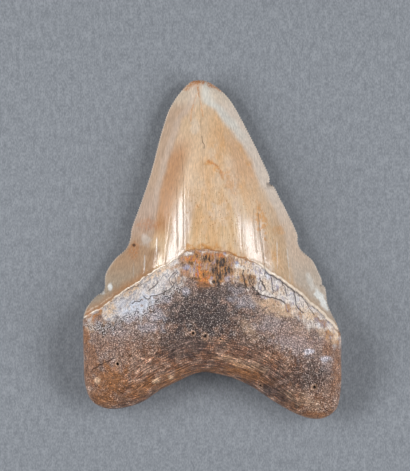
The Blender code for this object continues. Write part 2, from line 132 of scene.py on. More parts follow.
# Cracks: (half width, depth, darkness, points).
CRACKS = [
    # crown
    (0.14, 0.08, 0.45, [(-4.6, 53.0), (-4.0, 45.5), (-3.6, 38.5), (-2.9, 34.8), (-3.0, 30.0),
                        (-2.7, 22.0)]),
    (0.25, 0.12, 0.80, [(-3.4, 37.4), (-3.2, 35.6), (-2.5, 34.6), (-2.6, 33.4)]),
    (0.12, 0.05, 0.40, [(-2.7, 22.0), (-2.0, 19.7), (-2.1, 11.5), (-1.8, 6.0)]),
    (0.14, 0.08, 0.60, [(-10.6, 35.0), (-9.8, 29.0), (-9.4, 22.0), (-9.3, 12.0), (-9.1, -0.5)]),
    (0.13, 0.08, 0.60, [(-11.6, 23.0), (-11.5, 8.0), (-11.2, 1.0)]),
    (0.13, 0.08, 0.65, [(-13.7, 10.4), (-14.3, 4.8), (-15.0, -0.3), (-15.3, -5.4)]),
    (0.12, 0.05, 0.35, [(8.0, 31.0), (8.9, 20.0), (9.5, 12.0), (9.7, 0.0)]),
    (0.13, 0.07, 0.55, [(13.6, 13.5), (14.2, 4.5), (14.7, -1.0)]),
    (0.20, 0.14, 0.90, [(15.2, 12.0), (15.8, 6.0), (16.5, 1.0), (17.3, -5.6)]),
    (0.12, 0.05, 0.25, [(1.2, 14.0), (1.5, 4.0)]),
    (0.12, 0.05, 0.25, [(4.4, 20.0), (4.2, 9.0)]),
    # open on the flanks, where one wall catches the light
    (0.20, 0.06, 0.00, [(21.2, -1.2), (21.5, -6.2)]),
    (0.20, 0.06, 0.00, [(24.9, -3.0), (25.4, -6.5), (25.9, -10.6)]),
    (0.20, 0.06, 0.00, [(-18.2, 3.2), (-18.2, -6.0)]),
    (0.20, 0.06, 0.00, [(-22.3, -2.6), (-22.4, -8.6)]),
    # bourlette, left
    (0.29, 0.14, 0.95, [(-26.3, -17.7), (-25.2, -17.2), (-24.0, -17.0), (-23.2, -16.4)]),
    (0.29, 0.14, 0.95, [(-22.6, -15.4), (-22.0, -16.2), (-20.6, -15.9), (-19.8, -15.2), (-17.5, -14.9),
                        (-15.6, -14.1)]),
    (0.29, 0.14, 0.95, [(-20.8, -13.4), (-19.6, -12.8), (-18.8, -11.9), (-17.9, -11.3), (-17.8, -10.4)]),
    (0.26, 0.12, 0.85, [(-15.1, -13.8), (-14.0, -13.0), (-13.0, -12.4), (-12.4, -11.2), (-13.2, -10.4)]),
    (0.22, 0.12, 0.80, [(-11.6, -7.0), (-13.5, -8.8), (-14.2, -10.5), (-12.8, -11.9), (-11.9, -10.5),
                        (-12.3, -8.8), (-11.0, -7.5)]),
    (0.22, 0.12, 0.70, [(-9.9, -7.7), (-9.6, -9.5), (-10.3, -11.0), (-11.8, -11.9)]),
    (0.26, 0.12, 0.60, [(-28.6, -14.0), (-26.4, -12.6), (-23.0, -11.4), (-20.0, -9.6)]),
    # bourlette, right
    (0.35, 0.20, 0.95, [(10.2, -6.6), (10.5, -9.6), (11.0, -11.8), (11.6, -13.0)]),
    (0.29, 0.16, 0.85, [(12.5, -8.0), (11.9, -9.9), (12.7, -11.7), (14.1, -13.2), (15.3, -14.3)]),
    (0.22, 0.12, 0.80, [(13.6, -9.1), (13.0, -10.6), (13.6, -12.1), (14.5, -12.8)]),
    (0.22, 0.12, 0.80, [(16.1, -10.3), (15.0, -11.7), (15.4, -13.2), (16.7, -13.9), (17.5, -12.8),
                        (17.1, -11.7), (16.3, -10.5)]),
    (0.29, 0.16, 0.95, [(15.4, -9.4), (16.6, -11.2), (17.4, -13.4)]),
    (0.26, 0.14, 0.80, [(17.2, -5.8), (17.5, -9.0)]),
    (0.29, 0.14, 0.80, [(19.6, -9.4), (19.7, -11.8), (20.1, -14.4)]),
    (0.26, 0.12, 0.70, [(23.2, -11.2), (24.2, -13.2), (24.6, -15.4)]),
    (0.38, 0.16, 0.95, [(14.4, -14.6), (17.0, -15.2), (19.6, -16.0), (22.0, -16.4), (24.0, -17.6)]),
    (0.32, 0.18, 0.90, [(27.0, -14.0), (27.4, -17.0), (28.4, -19.2), (30.2, -20.9)]),
    (0.26, 0.14, 0.70, [(30.8, -17.4), (32.6, -19.8), (33.8, -21.6)]),
    # root
    (0.25, 0.25, 0.85, [(-39.4, -39.8), (-37.0, -38.2), (-34.6, -36.8), (-32.2, -35.8)]),
    (0.20, 0.12, 0.60, [(22.4, -23.6), (22.8, -25.4), (22.6, -27.4)]),
    (0.20, 0.12, 0.50, [(8.0, -24.0), (9.4, -27.0), (11.4, -29.6), (13.6, -32.0)]),
    (0.20, 0.12, 0.50, [(-28.0, -21.0), (-29.0, -23.6), (-29.4, -26.0)]),
]
# Long plates of the crown's enamel lie at slightly different slants: (x at y=0, lean, half width, tilt).
PLATES = [(-13.3, 0.09, 1.6, 0.03), (-8.6, 0.0, 0.9, -0.05), (4.5, 0.0, 3.0, -0.01),
          (11.5, -0.06, 2.0, 0.02), (18.0, -0.16, 1.6, -0.12), (-19.0, 0.2, 2.5, -0.05)]
# Rusty lines: (half width, strength, points).
RUST_LINES = [
    (0.45, 0.9, [(-4.8, 55.4), (-4.6, 53.0), (-4.1, 50.6)]),
    (0.40, 0.6, [(-4.7, 52.4), (-5.8, 49.2), (-6.8, 46.0), (-7.1, 42.5)]),
    (0.40, 0.6, [(-4.1, 50.6), (-3.6, 47.4), (-3.0, 44.0)]),
    (0.80, 0.8, [(-1.4, 29.2), (-0.6, 28.8)]),
    (0.60, 0.7, [(-0.6, 28.7), (1.0, 28.0), (2.0, 27.0), (3.2, 25.4)]),
    (0.35, 0.7, [(-5.0, 14.7), (-4.9, 14.0), (-4.3, 13.8)]),
    (0.45, 0.5, [(-9.6, 0.9), (-7.6, -0.6), (-4.0, -0.2), (2.6, -0.6), (6.6, -1.6), (12.5, -3.9)]),
]

# Coloured patches of the lingual face: (x, y, radius along x, radius along y, turn in degrees, strength).
# Rust is iron stain and tan is warm cream. Dusk is dark mineral, and painted shade at a nick. Pale is
# chalky and worn, and in places painted highlights and painted sheen.
RUST = [
    # tip
    (-4.6, 56.2, 3.4, 1.5, 0, 1.0), (-0.6, 55.2, 2.6, 1.2, -35, 0.8), (-7.4, 54.8, 1.6, 1.2, 40, 0.6),
    (-8.8, 53.6, 1.4, 1.8, 35, 0.6), (2.2, 53.8, 2.2, 1.2, -40, 0.7),
    # crown
    (3.2, 24.8, 0.8, 1.2, 0, 0.5), (-21.5, 8.0, 4.5, 3.0, 0, 0.45), (0.0, 0.4, 8.0, 1.0, -4, 0.35),
    # bourlette and shoulders
    (-9.8, -3.2, 2.4, 1.8, 0, 0.6), (-5.6, -3.2, 3.6, 2.2, 0, 0.9), (-40.6, -21.6, 1.6, 2.4, 0, 0.5),
    (-1.6, -1.9, 5.0, 1.5, -3, 0.8), (-9.2, -7.2, 2.4, 2.4, 0, 0.6), (-2.2, -11.2, 3.2, 2.0, 0, 0.9),
    (-3.4, -9.0, 3.4, 4.4, 0, 1.0), (2.4, -1.9, 3.0, 1.3, -6, 0.8), (-8.0, -8.0, 1.6, 2.6, 0, 0.4),
    (-26.2, -0.5, 2.2, 3.4, 0, 0.5), (0.0, -6.5, 11.5, 7.5, 0, 0.5), (-26.0, -11.5, 5.0, 1.6, 36, 0.2),
    (25.0, -19.4, 1.3, 2.4, 0, 0.4), (20.5, -17.5, 3.0, 2.0, 0, 0.3), (29.0, -21.6, 1.0, 1.8, 0, 0.35),
    (-38.5, -22.5, 1.6, 3.4, -30, 0.7), (36.0, -24.0, 3.5, 1.0, -40, 0.5),
    # root
    (-42.0, -25.0, 1.4, 2.6, 0, 0.7), (38.0, -46.0, 5.0, 6.0, 0, 0.3), (-41.6, -30.0, 1.8, 6.0, 0, 0.8),
    (41.6, -34.0, 1.6, 5.0, 0, 0.5), (42.4, -28.0, 0.6, 3.0, 0, 0.5), (41.4, -42.0, 2.6, 9.0, 0, 0.55),
    (-36.0, -49.5, 8.0, 4.0, 5, 0.7), (-36.0, -31.0, 6.0, 4.0, 0, 0.35), (-33.0, -43.0, 7.0, 6.0, 0, 0.8),
    (-40.0, -38.0, 4.0, 9.0, 0, 0.6), (33.5, -55.0, 8.0, 2.2, 0, 0.6), (-14.0, -43.0, 9.0, 3.0, 30, 0.7),
    (-23.0, -46.0, 7.0, 3.2, 25, 0.65), (-27.0, -33.0, 9.0, 5.0, 0, 0.3),
    (12.0, -41.0, 12.0, 3.4, -22, 0.9), (-2.0, -41.0, 8.0, 2.4, 0, 0.7),
    (26.0, -50.0, 8.0, 3.0, -30, 0.6), (28.0, -29.0, 9.0, 4.0, -20, 0.5), (38.0, -32.0, 3.0, 7.0, 0, 0.5),
    (20.0, -36.0, 9.0, 4.0, -25, 0.35),
]
PALE_AND_PAINTED_LIGHT = [
    # tip
    (-5.7, 41.0, 1.7, 4.0, 0, 0.3),
    # crown
    # (-18.2, 0.4) is a painted highlight: a line of light on the wall of an open crack.
    (-18.2, 0.4, 0.24, 6.4, 0, 0.55), (2.4, 12.0, 4.5, 5.0, 0, 0.32), (-22.0, 3.0, 2.0, 2.6, 0, 0.4),
    (-2.2, 14.0, 1.4, 13.0, 0, 0.22),
    # bourlette and shoulders
    # The thin patches (21.5, -1.0), (25.3, -4.6), (-22.3, -4.0) and (-26.0, -7.0) are painted highlights on
    # the walls of open cracks.
    (21.5, -1.0, 0.26, 6.4, 0, 0.55), (25.3, -4.6, 0.26, 6.4, 5, 0.6), (-22.3, -4.0, 0.24, 5.0, 0, 0.5),
    # (36.1, -16.4), (38.4, -19.8) and (32.8, -11.2) are the painted highlight on the nacre of the right
    # shoulder.
    (-26.0, -7.0, 0.24, 3.0, 0, 0.3), (-9.0, -5.6, 2.2, 1.2, 0, 0.7), (36.1, -16.4, 1.6, 3.6, 27, 1.0),
    (38.4, -19.8, 0.8, 1.2, 29, 0.9), (32.8, -11.2, 1.8, 3.4, 20, 0.45), (-9.6, -5.8, 1.4, 0.8, 0, 0.5),
    (8.2, -5.0, 0.9, 1.6, 0, 0.9), (5.0, -8.6, 1.2, 3.0, 0, 0.6), (-33.7, -12.2, 0.9, 1.3, 0, 0.9),
    # (-24.0, -19.0) here and (-25.0, -21.5) further down are blue-grey skin under a painted sheen.
    (-36.4, -14.4, 1.2, 0.8, 0, 0.6), (-40.0, -20.0, 0.7, 0.7, 0, 0.7), (-24.0, -19.0, 8.0, 3.4, 28, 1.0),
    (-16.0, -12.0, 5.0, 3.0, 35, 0.3), (-15.0, -16.6, 3.6, 1.8, 25, 0.6),
    (-18.5, -21.5, 4.4, 2.4, 20, 0.6), (10.0, -17.2, 5.0, 2.4, -15, 0.5),
    (-37.4, -23.4, 2.4, 1.8, 35, 0.7), (-30.0, -17.8, 3.0, 2.0, 35, 0.5), (-8.6, -13.6, 2.2, 1.5, 0, 0.7),
    (8.0, -13.5, 3.4, 1.8, 0, 0.4), (18.4, -8.0, 1.6, 2.4, 30, 0.8), (21.0, -11.0, 2.4, 3.0, -30, 0.5),
    (27.0, -16.0, 2.0, 3.4, 20, 0.45), (28.2, -21.8, 3.2, 1.6, -25, 0.35),
    (-25.0, -21.5, 6.0, 2.4, 20, 0.6),
    # root
    (35.2, -24.2, 3.2, 1.8, -45, 0.5), (-20.0, -25.5, 5.0, 2.4, 0, 0.5),
    # (31.8, -33.4) and (37.2, -36.4) are painted sheen on the right of the root.
    (35.0, -29.5, 4.0, 3.0, -45, 0.25), (31.8, -33.4, 2.4, 1.2, 0, 0.9),
    (27.0, -30.0, 9.0, 5.0, -20, 0.4), (38.0, -38.0, 2.4, 4.0, 0, 0.2), (37.2, -36.4, 2.4, 1.6, 0, 0.9),
    (-31.0, -26.0, 5.0, 3.0, 0, 0.3), (19.0, -25.0, 7.0, 4.0, 0, 0.35),
]
TAN = [
    # crown
    (-3.0, 0.8, 6.0, 1.2, 0, 0.9), (-0.6, 28.6, 1.8, 1.4, 0, 0.8), (2.0, 26.6, 2.4, 1.5, -40, 0.8),
    (16.0, 9.4, 2.2, 5.8, 10, 1.0), (5.6, 23.0, 2.4, 5.4, 12, 0.6), (1.6, 33.0, 3.0, 4.0, 0, 0.4),
    (8.6, 20.5, 1.6, 2.4, 0, 0.5), (12.4, 28.4, 1.4, 1.6, 0, 0.5), (22.5, 6.5, 2.2, 2.2, 0, 0.5),
    # bourlette and shoulders
    (6.8, -2.6, 5.4, 1.5, -18, 1.0), (20.6, -2.6, 1.2, 3.2, 10, 0.6), (24.0, -20.5, 6.0, 2.6, -12, 1.0),
    (20.0, -19.4, 4.0, 2.0, 0, 0.9), (10.0, -8.0, 5.0, 3.5, -10, 1.0), (8.8, -3.8, 5.0, 1.9, -20, 1.0),
    (18.3, -17.6, 5.0, 2.0, -14, 0.9), (30.0, -21.0, 5.0, 2.6, -35, 0.7),
    (20.0, -12.0, 6.0, 3.0, -30, 0.6), (33.0, -22.0, 5.0, 2.0, -40, 0.9),
    (-35.0, -21.5, 3.0, 2.4, 40, 0.6), (-33.4, -19.6, 2.2, 2.2, 35, 1.0),
    (-18.0, -7.8, 6.0, 1.2, 36, 0.8), (-27.0, -14.0, 6.0, 1.2, 36, 0.8),
    # root
    (40.4, -28.0, 2.4, 4.4, 0, 1.0), (36.0, -27.0, 3.0, 2.0, -40, 0.7), (-40.0, -25.6, 1.8, 2.0, 0, 0.7),
    (-1.0, -29.6, 4.0, 1.2, -8, 0.2), (-38.0, -43.3, 1.2, 1.4, 0, 0.9), (-18.2, -43.0, 1.6, 1.2, 30, 0.9),
    (-13.4, -42.0, 1.2, 1.2, 0, 0.9), (12.0, -26.0, 2.0, 5.0, 40, 0.5),
    (10.0, -37.5, 10.0, 2.0, -15, 0.4), (29.0, -27.0, 6.0, 3.0, 0, 0.3),
    (31.0, -50.0, 8.0, 3.0, -20, 0.35),
]
DUSK_AND_PAINTED_SHADE = [
    # crown
    # (19.2, 21.8) is painted shade in the scoop of the nick on the right edge.
    (19.2, 21.8, 1.3, 1.0, 0, 0.65), (-26.0, 1.4, 0.5, 0.5, 0, 1.0),
    # bourlette and shoulders
    (-2.6, -2.6, 4.0, 1.6, -4, 0.7), (3.2, -4.8, 2.4, 2.0, 0, 1.0), (1.2, -6.2, 2.4, 2.2, 0, 1.0),
    (4.6, -6.6, 2.2, 2.2, 0, 0.8), (9.6, -11.4, 3.0, 1.8, -10, 0.55), (13.0, -10.6, 1.8, 2.8, 0, 0.5),
    (2.2, -10.0, 1.3, 3.6, 0, 0.9), (-2.6, -8.4, 1.0, 1.0, 0, 0.8), (0.6, -10.6, 1.4, 0.8, 0, 0.8),
    (-6.5, -4.4, 1.6, 1.0, 0, 0.6), (-10.4, -5.0, 2.2, 1.2, 25, 0.5), (-6.0, -9.6, 3.0, 0.8, 0, 0.6),
    (5.0, -12.6, 4.0, 2.2, 0, 0.7), (9.5, -9.4, 1.2, 2.4, 0, 0.5), (0.0, -15.0, 11.0, 3.0, 0, 0.7),
    (-2.0, -22.0, 16.0, 8.5, 0, 0.9), (-9.0, -12.4, 2.4, 1.0, 10, 0.2),
    (-13.0, -10.8, 3.6, 1.8, 25, 0.25), (6.0, -14.0, 6.0, 1.2, -10, 0.6), (36.4, -12.1, 0.6, 0.6, 0, 0.7),
    (-37.4, -23.4, 2.0, 2.4, 0, 0.5),
    # root
    (-42.0, -36.0, 2.4, 11.0, 0, 0.3), (-8.0, -30.0, 14.0, 7.0, 0, 0.7),
    (12.0, -30.0, 12.0, 7.0, -20, 0.5), (2.0, -37.0, 14.0, 2.0, 0, 0.3),
    (22.0, -47.5, 12.0, 3.0, -25, 0.7), (-35.0, -24.6, 3.6, 1.6, 15, 0.5),
    (-40.0, -50.0, 2.0, 3.0, 0, 0.4), (22.0, -42.0, 11.0, 6.0, -25, 0.6),
    (32.0, -42.0, 8.0, 7.0, 0, 0.65),
]
# The tan wedge of the crown, where the dentine shows through thick enamel: x of its edges by y.
WEDGE_LEFT = [(-25.0, -30.0), (0.0, -21.0), (12.0, -18.5), (24.7, -15.7), (33.1, -13.3), (38.1, -11.3),
              (42.4, -10.0), (45.4, -8.0), (49.8, -5.3), (52.0, -4.7)]
WEDGE_RIGHT = [(-25.0, 30.0), (0.0, 25.5), (9.8, 22.7), (16.4, 18.7), (24.8, 14.3), (29.8, 12.7),
               (37.1, 8.0), (43.8, 2.7), (47.1, -0.3), (49.0, -3.0), (52.0, -4.2)]

# Serrations of the cutting edges, worn away in places.
SERRATION_PITCH = 0.85
SERRATION_DEPTH = 0.34

# Spacing of the points, in millimetres: a serration takes four points of the rim.
RIM_SPACING = SERRATION_PITCH / 4
RIM_ROOM = 0.08
TOP_SPACING, UNDER_SPACING = 0.32, 0.70
NET_HALF_WIDTH = 45
NET_ROOM = 0.66
ROUNDING_ROWS = 10
ROWS_REACH = 1.7
ROW_GAP = 0.2
FINE_GAP = 0.1
LEDGE_ROWS = [-0.7, -0.4, -0.18, 0.0, 0.14, 0.3, 0.5]
LEDGE_STEP = 0.22
CRACK_STEP = 0.25
CURVE_STEPS = 40
# Places worked out at a time, to spare memory.
BATCH = 2000


# ---------------------------------------------------------------------------------------------------
# Curves, random fields and the tooth's form

def along(table, x):
    """Reads a table of (x, value) pairs with a smooth curve that never overshoots them."""
    xs, values = np.array(table, float).T
    chord = np.diff(values) / np.diff(xs)
    before, after = chord[:-1], chord[1:]
    same = before * after > 0
    mean = np.where(same, 2 * before * after / np.where(same, before + after, 1), 0)
    slopes = np.r_[chord[0], mean, chord[-1]]
    x = np.clip(x, xs[0], xs[-1])
    i = np.clip(np.searchsorted(xs, x) - 1, 0, len(xs) - 2)
    step = xs[i + 1] - xs[i]
    t = (x - xs[i]) / step
    rise = values[i + 1] - values[i]
    cubic = slopes[i] * step * t * (1 - t) ** 2 - slopes[i + 1] * step * t**2 * (1 - t)
    return values[i] + rise * t * t * (3 - 2 * t) + cubic


def ramp(low, high, x):
    """0 below low, 1 above high, smooth between."""
    t = np.clip((x - low) / (high - low), 0, 1)
    return t * t * (3 - 2 * t)


def hashed(i, j, seed):
    """A repeatable random share of 1 for each place of a whole-number lattice."""
    h = (i * 374761393 + j * 668265263 + seed * 1274126177).astype(np.int64).astype(np.uint32)
    h = (h ^ (h >> 13)) * np.uint32(1274126177)
    return (h ^ (h >> 16)) / 2.0**32


def rough(x, y, seed):
    """Smooth random field of about -1 to 1, with one lump to a unit square. Each use has its own seed."""
    i, j = np.floor(x).astype(np.int64), np.floor(y).astype(np.int64)
    total = np.zeros(np.shape(x))
    for di in (0, 1):
        for dj in (0, 1):
            fx, fy = x - i - di, y - j - dj
            turn = hashed(i + di, j + dj, seed) * math.tau
            weight = (1 - ramp(0, 1, np.abs(fx))) * (1 - ramp(0, 1, np.abs(fy)))
            total += weight * (np.cos(turn) * fx + np.sin(turn) * fy)
    return total * 1.6


def layered_rough(x, y, seed, octaves):
    """Rough field with finer and finer lumps laid over it."""
    return sum(rough(x * 2**k, y * 2**k, seed + k) / 2**k for k in range(octaves))


def closed_curve(points, spacing):
    """A smooth closed curve through the points (centripetal Catmull-Rom), at an even spacing."""
    p = np.array(points, float)
    before, after, last = np.roll(p, 1, 0), np.roll(p, -1, 0), np.roll(p, -2, 0)
    spans = (before, p), (p, after), (after, last)
    k0, k1, k2 = (np.sqrt(np.linalg.norm(b - a, axis=1)) for a, b in spans)
    t1, t2, t3 = k0, k0 + k1, k0 + k1 + k2
    dense = []
    for share in np.linspace(0, 1, CURVE_STEPS, endpoint=False):
        t = (t1 + k1 * share)[:, None]
        a1 = (t1[:, None] - t) / k0[:, None] * before + t / k0[:, None] * p
        a2 = (t2[:, None] - t) / k1[:, None] * p + (t - t1[:, None]) / k1[:, None] * after
        a3 = (t3[:, None] - t) / k2[:, None] * after + (t - t2[:, None]) / k2[:, None] * last
        b1 = (t2[:, None] - t) / t2[:, None] * a1 + t / t2[:, None] * a2
        b2 = (t3[:, None] - t) / (k1 + k2)[:, None] * a2 + (t - t1[:, None]) / (k1 + k2)[:, None] * a3
        dense.append((t2[:, None] - t) / k1[:, None] * b1 + (t - t1[:, None]) / k1[:, None] * b2)
    curve = np.stack(dense, 1).reshape(-1, 2)
    ends = np.vstack([curve, curve[:1]])
    run = np.r_[0, np.cumsum(np.linalg.norm(np.diff(ends, axis=0), axis=1))]
    wanted = np.linspace(0, run[-1], round(run[-1] / spacing), endpoint=False)
    return np.c_[np.interp(wanted, run, ends[:, 0]), np.interp(wanted, run, ends[:, 1])]


def inside(points, ring):
    """Which points lie inside a closed ring, by counting crossings."""
    a, b = ring, np.roll(ring, -1, 0)
    slope = (b[:, 0] - a[:, 0]) / np.where(b[:, 1] == a[:, 1], 1, b[:, 1] - a[:, 1])
    found = np.empty(len(points), bool)
    for start in range(0, len(points), BATCH):
        x, y = points[start : start + BATCH, 0, None], points[start : start + BATCH, 1, None]
        spans = (a[:, 1] > y) != (b[:, 1] > y)
        found[start : start + BATCH] = (spans & (x < a[:, 0] + (y - a[:, 1]) * slope)).sum(1) % 2 == 1
    return found


def distance_to(points, line, closed=False):
    """Distance from each point to a line of straight stretches."""
    a = line if closed else line[:-1]
    d = (np.roll(line, -1, 0) if closed else line[1:]) - a
    length2 = (d**2).sum(1)
    found = np.empty(len(points))
    for start in range(0, len(points), BATCH):
        px, py = points[start : start + BATCH, 0, None], points[start : start + BATCH, 1, None]
        t = np.clip(((px - a[:, 0]) * d[:, 0] + (py - a[:, 1]) * d[:, 1]) / length2, 0, 1)
        away2 = (a[:, 0] + t * d[:, 0] - px) ** 2 + (a[:, 1] + t * d[:, 1] - py) ** 2
        found[start : start + BATCH] = np.sqrt(away2.min(1))
    return found


class Tooth:
    """The tooth's form, as in the solid: heights of the two sheets at any place inside the outline."""

    def __init__(self):
        self.ring = closed_curve(OUTLINE, LEVEL_STEP)
        self.level = np.arange(ROOT_Y, TIP_Y, LEVEL_STEP)
        self.middle, self.half = self._mean_edges()

    def _mean_edges(self):
        """Centre and half width at each level, with the nicks and shoulders averaged out."""
        tip = int(np.argmax(self.ring[:, 1]))
        ring = np.roll(self.ring, -tip, 0)
        right = ring[: int(np.argmax(ring[:, 0])) + 1][::-1]
        left = ring[int(np.argmin(ring[:, 0])) :]
        x_right = np.interp(self.level, right[:, 1], right[:, 0])
        x_left = np.interp(self.level, left[:, 1], left[:, 0])
        pad = round(SMOOTH_REACH / LEVEL_STEP)
        kernel = np.exp(-0.5 * (np.arange(-pad, pad + 1) * LEVEL_STEP / SMOOTH_RUN) ** 2)
        kernel /= kernel.sum()
        edges = []
        for x in (x_left, x_right):
            padded = np.r_[np.full(pad, x[0]), x, 2 * x[-1] - x[-2 : -pad - 2 : -1]]
            edges.append(np.convolve(padded, kernel, "valid"))
        blend = ramp(*TIP_TAPER, self.level)
        edges = [e * (1 - blend) + x * blend for e, x in zip(edges, (x_left, x_right))]
        return (edges[0] + edges[1]) / 2, np.maximum((edges[1] - edges[0]) / 2, LEAST_HALF_WIDTH)

    def across(self, x, y):
        """Place across the width, -1 at the left edge and 1 at the right."""
        u = (x - np.interp(y, self.level, self.middle)) / (np.interp(y, self.level, self.half) * WIDEN)
        return np.clip(u, -FULL_WIDTH, FULL_WIDTH)

    @staticmethod
    def rim(depth, radius):
        """Round closing of a sheet towards the rim, 0 at the outline."""
        t = 1 - np.clip(depth / radius, 0, 1)
        return np.sqrt(1 - t * t)

    def lingual(self, x, y, depth):
        """Height of the upper sheet, by the place and its distance from the outline."""
        u = self.across(x, y)
        lens = (1 - u * u) ** along(LENS_POWER, y)
        height = along(LINGUAL_HEIGHT, y) * lens * self.rim(depth, along(LINGUAL_ROUND, y))
        return along(RIM_LEVEL, y) + height

    def labial(self, x, y, depth):
        """Height of the lower sheet, by the place and its distance from the outline."""
        u = self.across(x, y)
        level = along(RIM_LEVEL, y)
        crown = along(LABIAL_DEPTH, y) * (1 - u * u) ** LABIAL_POWER
        root = level - ROOT_HOLLOW * (1 - (u / HOLLOW_HALF) ** 2)
        drop = np.minimum(root + (crown - root) * ramp(*ROOT_TO_CROWN, y), level)
        return level - drop * self.rim(depth, along(LABIAL_ROUND, y))


def wavered(border):
    """The border with the small waves of the enamel's broken lip."""
    xs = np.arange(-BORDER_END, BORDER_END + 0.1, 0.4)
    waves = 0.55 * rough(xs / 3.4, xs * 0, 13) + 0.28 * rough(xs / 1.3, xs * 0, 17)
    return list(zip(xs, along(border, xs) + waves * ramp(43, 38, np.abs(xs))))


def below(border, x, y):
    """How far a place is below a border that runs from left to right, square to it."""
    slope = along(border, x + 0.5) - along(border, x - 0.5)
    return (along(border, x) - y) / np.hypot(1, slope)


def patches(table, x, y):
    """Coloured patches with soft ragged edges, 0 to 1."""
    ragged = 0.5 * layered_rough(x / 2.4, y / 2.4, 103, 3)
    total = np.zeros(len(x))
    for x0, y0, rx, ry, turn, strength in table:
        c, s = math.cos(math.radians(turn)), math.sin(math.radians(turn))
        dx, dy = x - x0, y - y0
        away = np.hypot((c * dx + s * dy) / rx, (-s * dx + c * dy) / ry)
        total = np.maximum(total, strength * (1 - ramp(0.3, 1.3, away + ragged)))
    return total


# ---------------------------------------------------------------------------------------------------
# Points and triangles of the sheets

def offset_ring(ring, depth):
    """The ring moved inwards."""
    tangent = np.roll(ring, -1, 0) - np.roll(ring, 1, 0)
    inward = np.c_[tangent[:, 1], -tangent[:, 0]]
    return ring + inward / np.linalg.norm(inward, axis=1)[:, None] * depth


def rounding_rows(rim, rounding):
    """Rows over the steep part of the rounding, with their spacings."""
    radius = along(rounding, rim[:, 1])
    before = np.zeros(len(rim))
    for row in range(1, ROUNDING_ROWS + 1):
        depth = radius * (1 - math.cos(row / ROUNDING_ROWS * math.pi / 2))
        kept = (depth - before > ROW_GAP * 0.5) & (depth < ROWS_REACH)
        yield offset_ring(rim, depth[:, None])[kept], np.clip(0.8 * (depth - before), 0.09, ROW_GAP)[kept]
        before = np.where(kept, depth, before)


def walked(line, spacing):
    """Points at an even spacing along straight stretches."""
    line = np.array(line, float)
    run = np.r_[0, np.cumsum(np.linalg.norm(np.diff(line, axis=0), axis=1))]
    wanted = np.linspace(0, run[-1], max(2, round(run[-1] / spacing)))
    return np.c_[np.interp(wanted, run, line[:, 0]), np.interp(wanted, run, line[:, 1])]


def shaky(line):
    """A crack's line as it wanders in the bourlette and the root, nearly straight in the enamel."""
    line = walked(line, CRACK_STEP)
    x, y = line.T
    stray = 0.05 + 0.3 * ramp(2, -4, y)
    return line + np.c_[rough(x / 1.1, y / 1.1, 107), rough(x / 1.1, y / 1.1, 109)] * stray[:, None]


def feature_rows(rim, border, rounding, on_top):
    """Rows of points along what has to be sharp, each with the room that its points keep."""
    for row, gap in rounding_rows(rim, rounding):
        yield row, gap
    if on_top:
        for half, _, _, line in CRACKS:
            middle = shaky(line)
            side = np.gradient(middle, axis=0)
            side = np.c_[-side[:, 1], side[:, 0]] / np.linalg.norm(side, axis=1)[:, None]
            for share in (0, -1, 1):
                yield middle + side * half * share, FINE_GAP
        for x, y, radius, _ in PORES:
            for share in (0.0, 0.35, 0.7, 1.0, 1.4):
                turns = np.linspace(0, math.tau, 1 + round(14 * share), endpoint=False)
                ring = np.c_[x + share * radius * np.cos(turns), y + share * radius * np.sin(turns)]
                yield ring, FINE_GAP
    xs = np.arange(1 - BORDER_END, BORDER_END - 1, LEDGE_STEP)
    slope = np.gradient(along(border, xs), xs)
    length = np.hypot(1, slope)
    for drop in LEDGE_ROWS:
        yield np.c_[xs + drop * slope / length, along(border, xs) - drop / length], FINE_GAP


def even_net(spacing):
    """Points of an even triangular net over the whole outline's box."""
    xs = np.arange(-NET_HALF_WIDTH, NET_HALF_WIDTH, spacing)
    ys = np.arange(ROOT_Y - 1, TIP_Y + 1, spacing * math.sqrt(0.75))
    return np.vstack([np.c_[xs + (i % 2) * spacing / 2, np.full(len(xs), y)] for i, y in enumerate(ys)])


def spread(points, gaps, kept):
    """The points that keep their room from those already there, taken in order."""
    grid = {}
    for p in kept:
        grid.setdefault((int(p[0] // ROW_GAP), int(p[1] // ROW_GAP)), []).append(tuple(p))
    added = []
    for p, gap in zip(points.tolist(), gaps.tolist()):
        cx, cy = int(p[0] // ROW_GAP), int(p[1] // ROW_GAP)
        near = (
            q for i in range(cx - 1, cx + 2) for j in range(cy - 1, cy + 2) for q in grid.get((i, j), ())
        )
        if all((q[0] - p[0]) ** 2 + (q[1] - p[1]) ** 2 >= gap * gap for q in near):
            grid.setdefault((cx, cy), []).append(tuple(p))
            added.append(p)
    return np.array(added)


def net_points(tooth, rim, border, rounding, spacing, on_top):
    """Points inside the rim: rows along the sharp features, then an even net in what room is left."""
    rows = list(feature_rows(rim, border, rounding, on_top))
    points = np.vstack([row for row, _ in rows])
    gaps = np.concatenate([np.broadcast_to(gap, len(row)) for row, gap in rows])
    clear = inside(points, tooth.ring) & (distance_to(points, rim, True) > RIM_ROOM)
    points = spread(points[clear], gaps[clear], rim)
    taken = kdtree.KDTree(len(points) + len(rim))
    for i, (x, y) in enumerate(np.vstack([points, rim]).tolist()):
        taken.insert((x, y, 0), i)
    taken.balance()
    net = even_net(spacing)
    net = net[inside(net, tooth.ring)]
    free = [taken.find((x, y, 0))[2] > spacing * NET_ROOM for x, y in net.tolist()]
    return np.vstack([points, net[free]])


def chords(faces, count):
    """Edges that cut across the inside from one rim point to another."""
    f = np.array(faces)
    edges = np.sort(np.vstack([f[:, [0, 1]], f[:, [1, 2]], f[:, [2, 0]]]), axis=1)
    edges = edges[(edges[:, 1] < count)]
    step = edges[:, 1] - edges[:, 0]
    return np.unique(edges[(step != 1) & (step != count - 1)], axis=0)


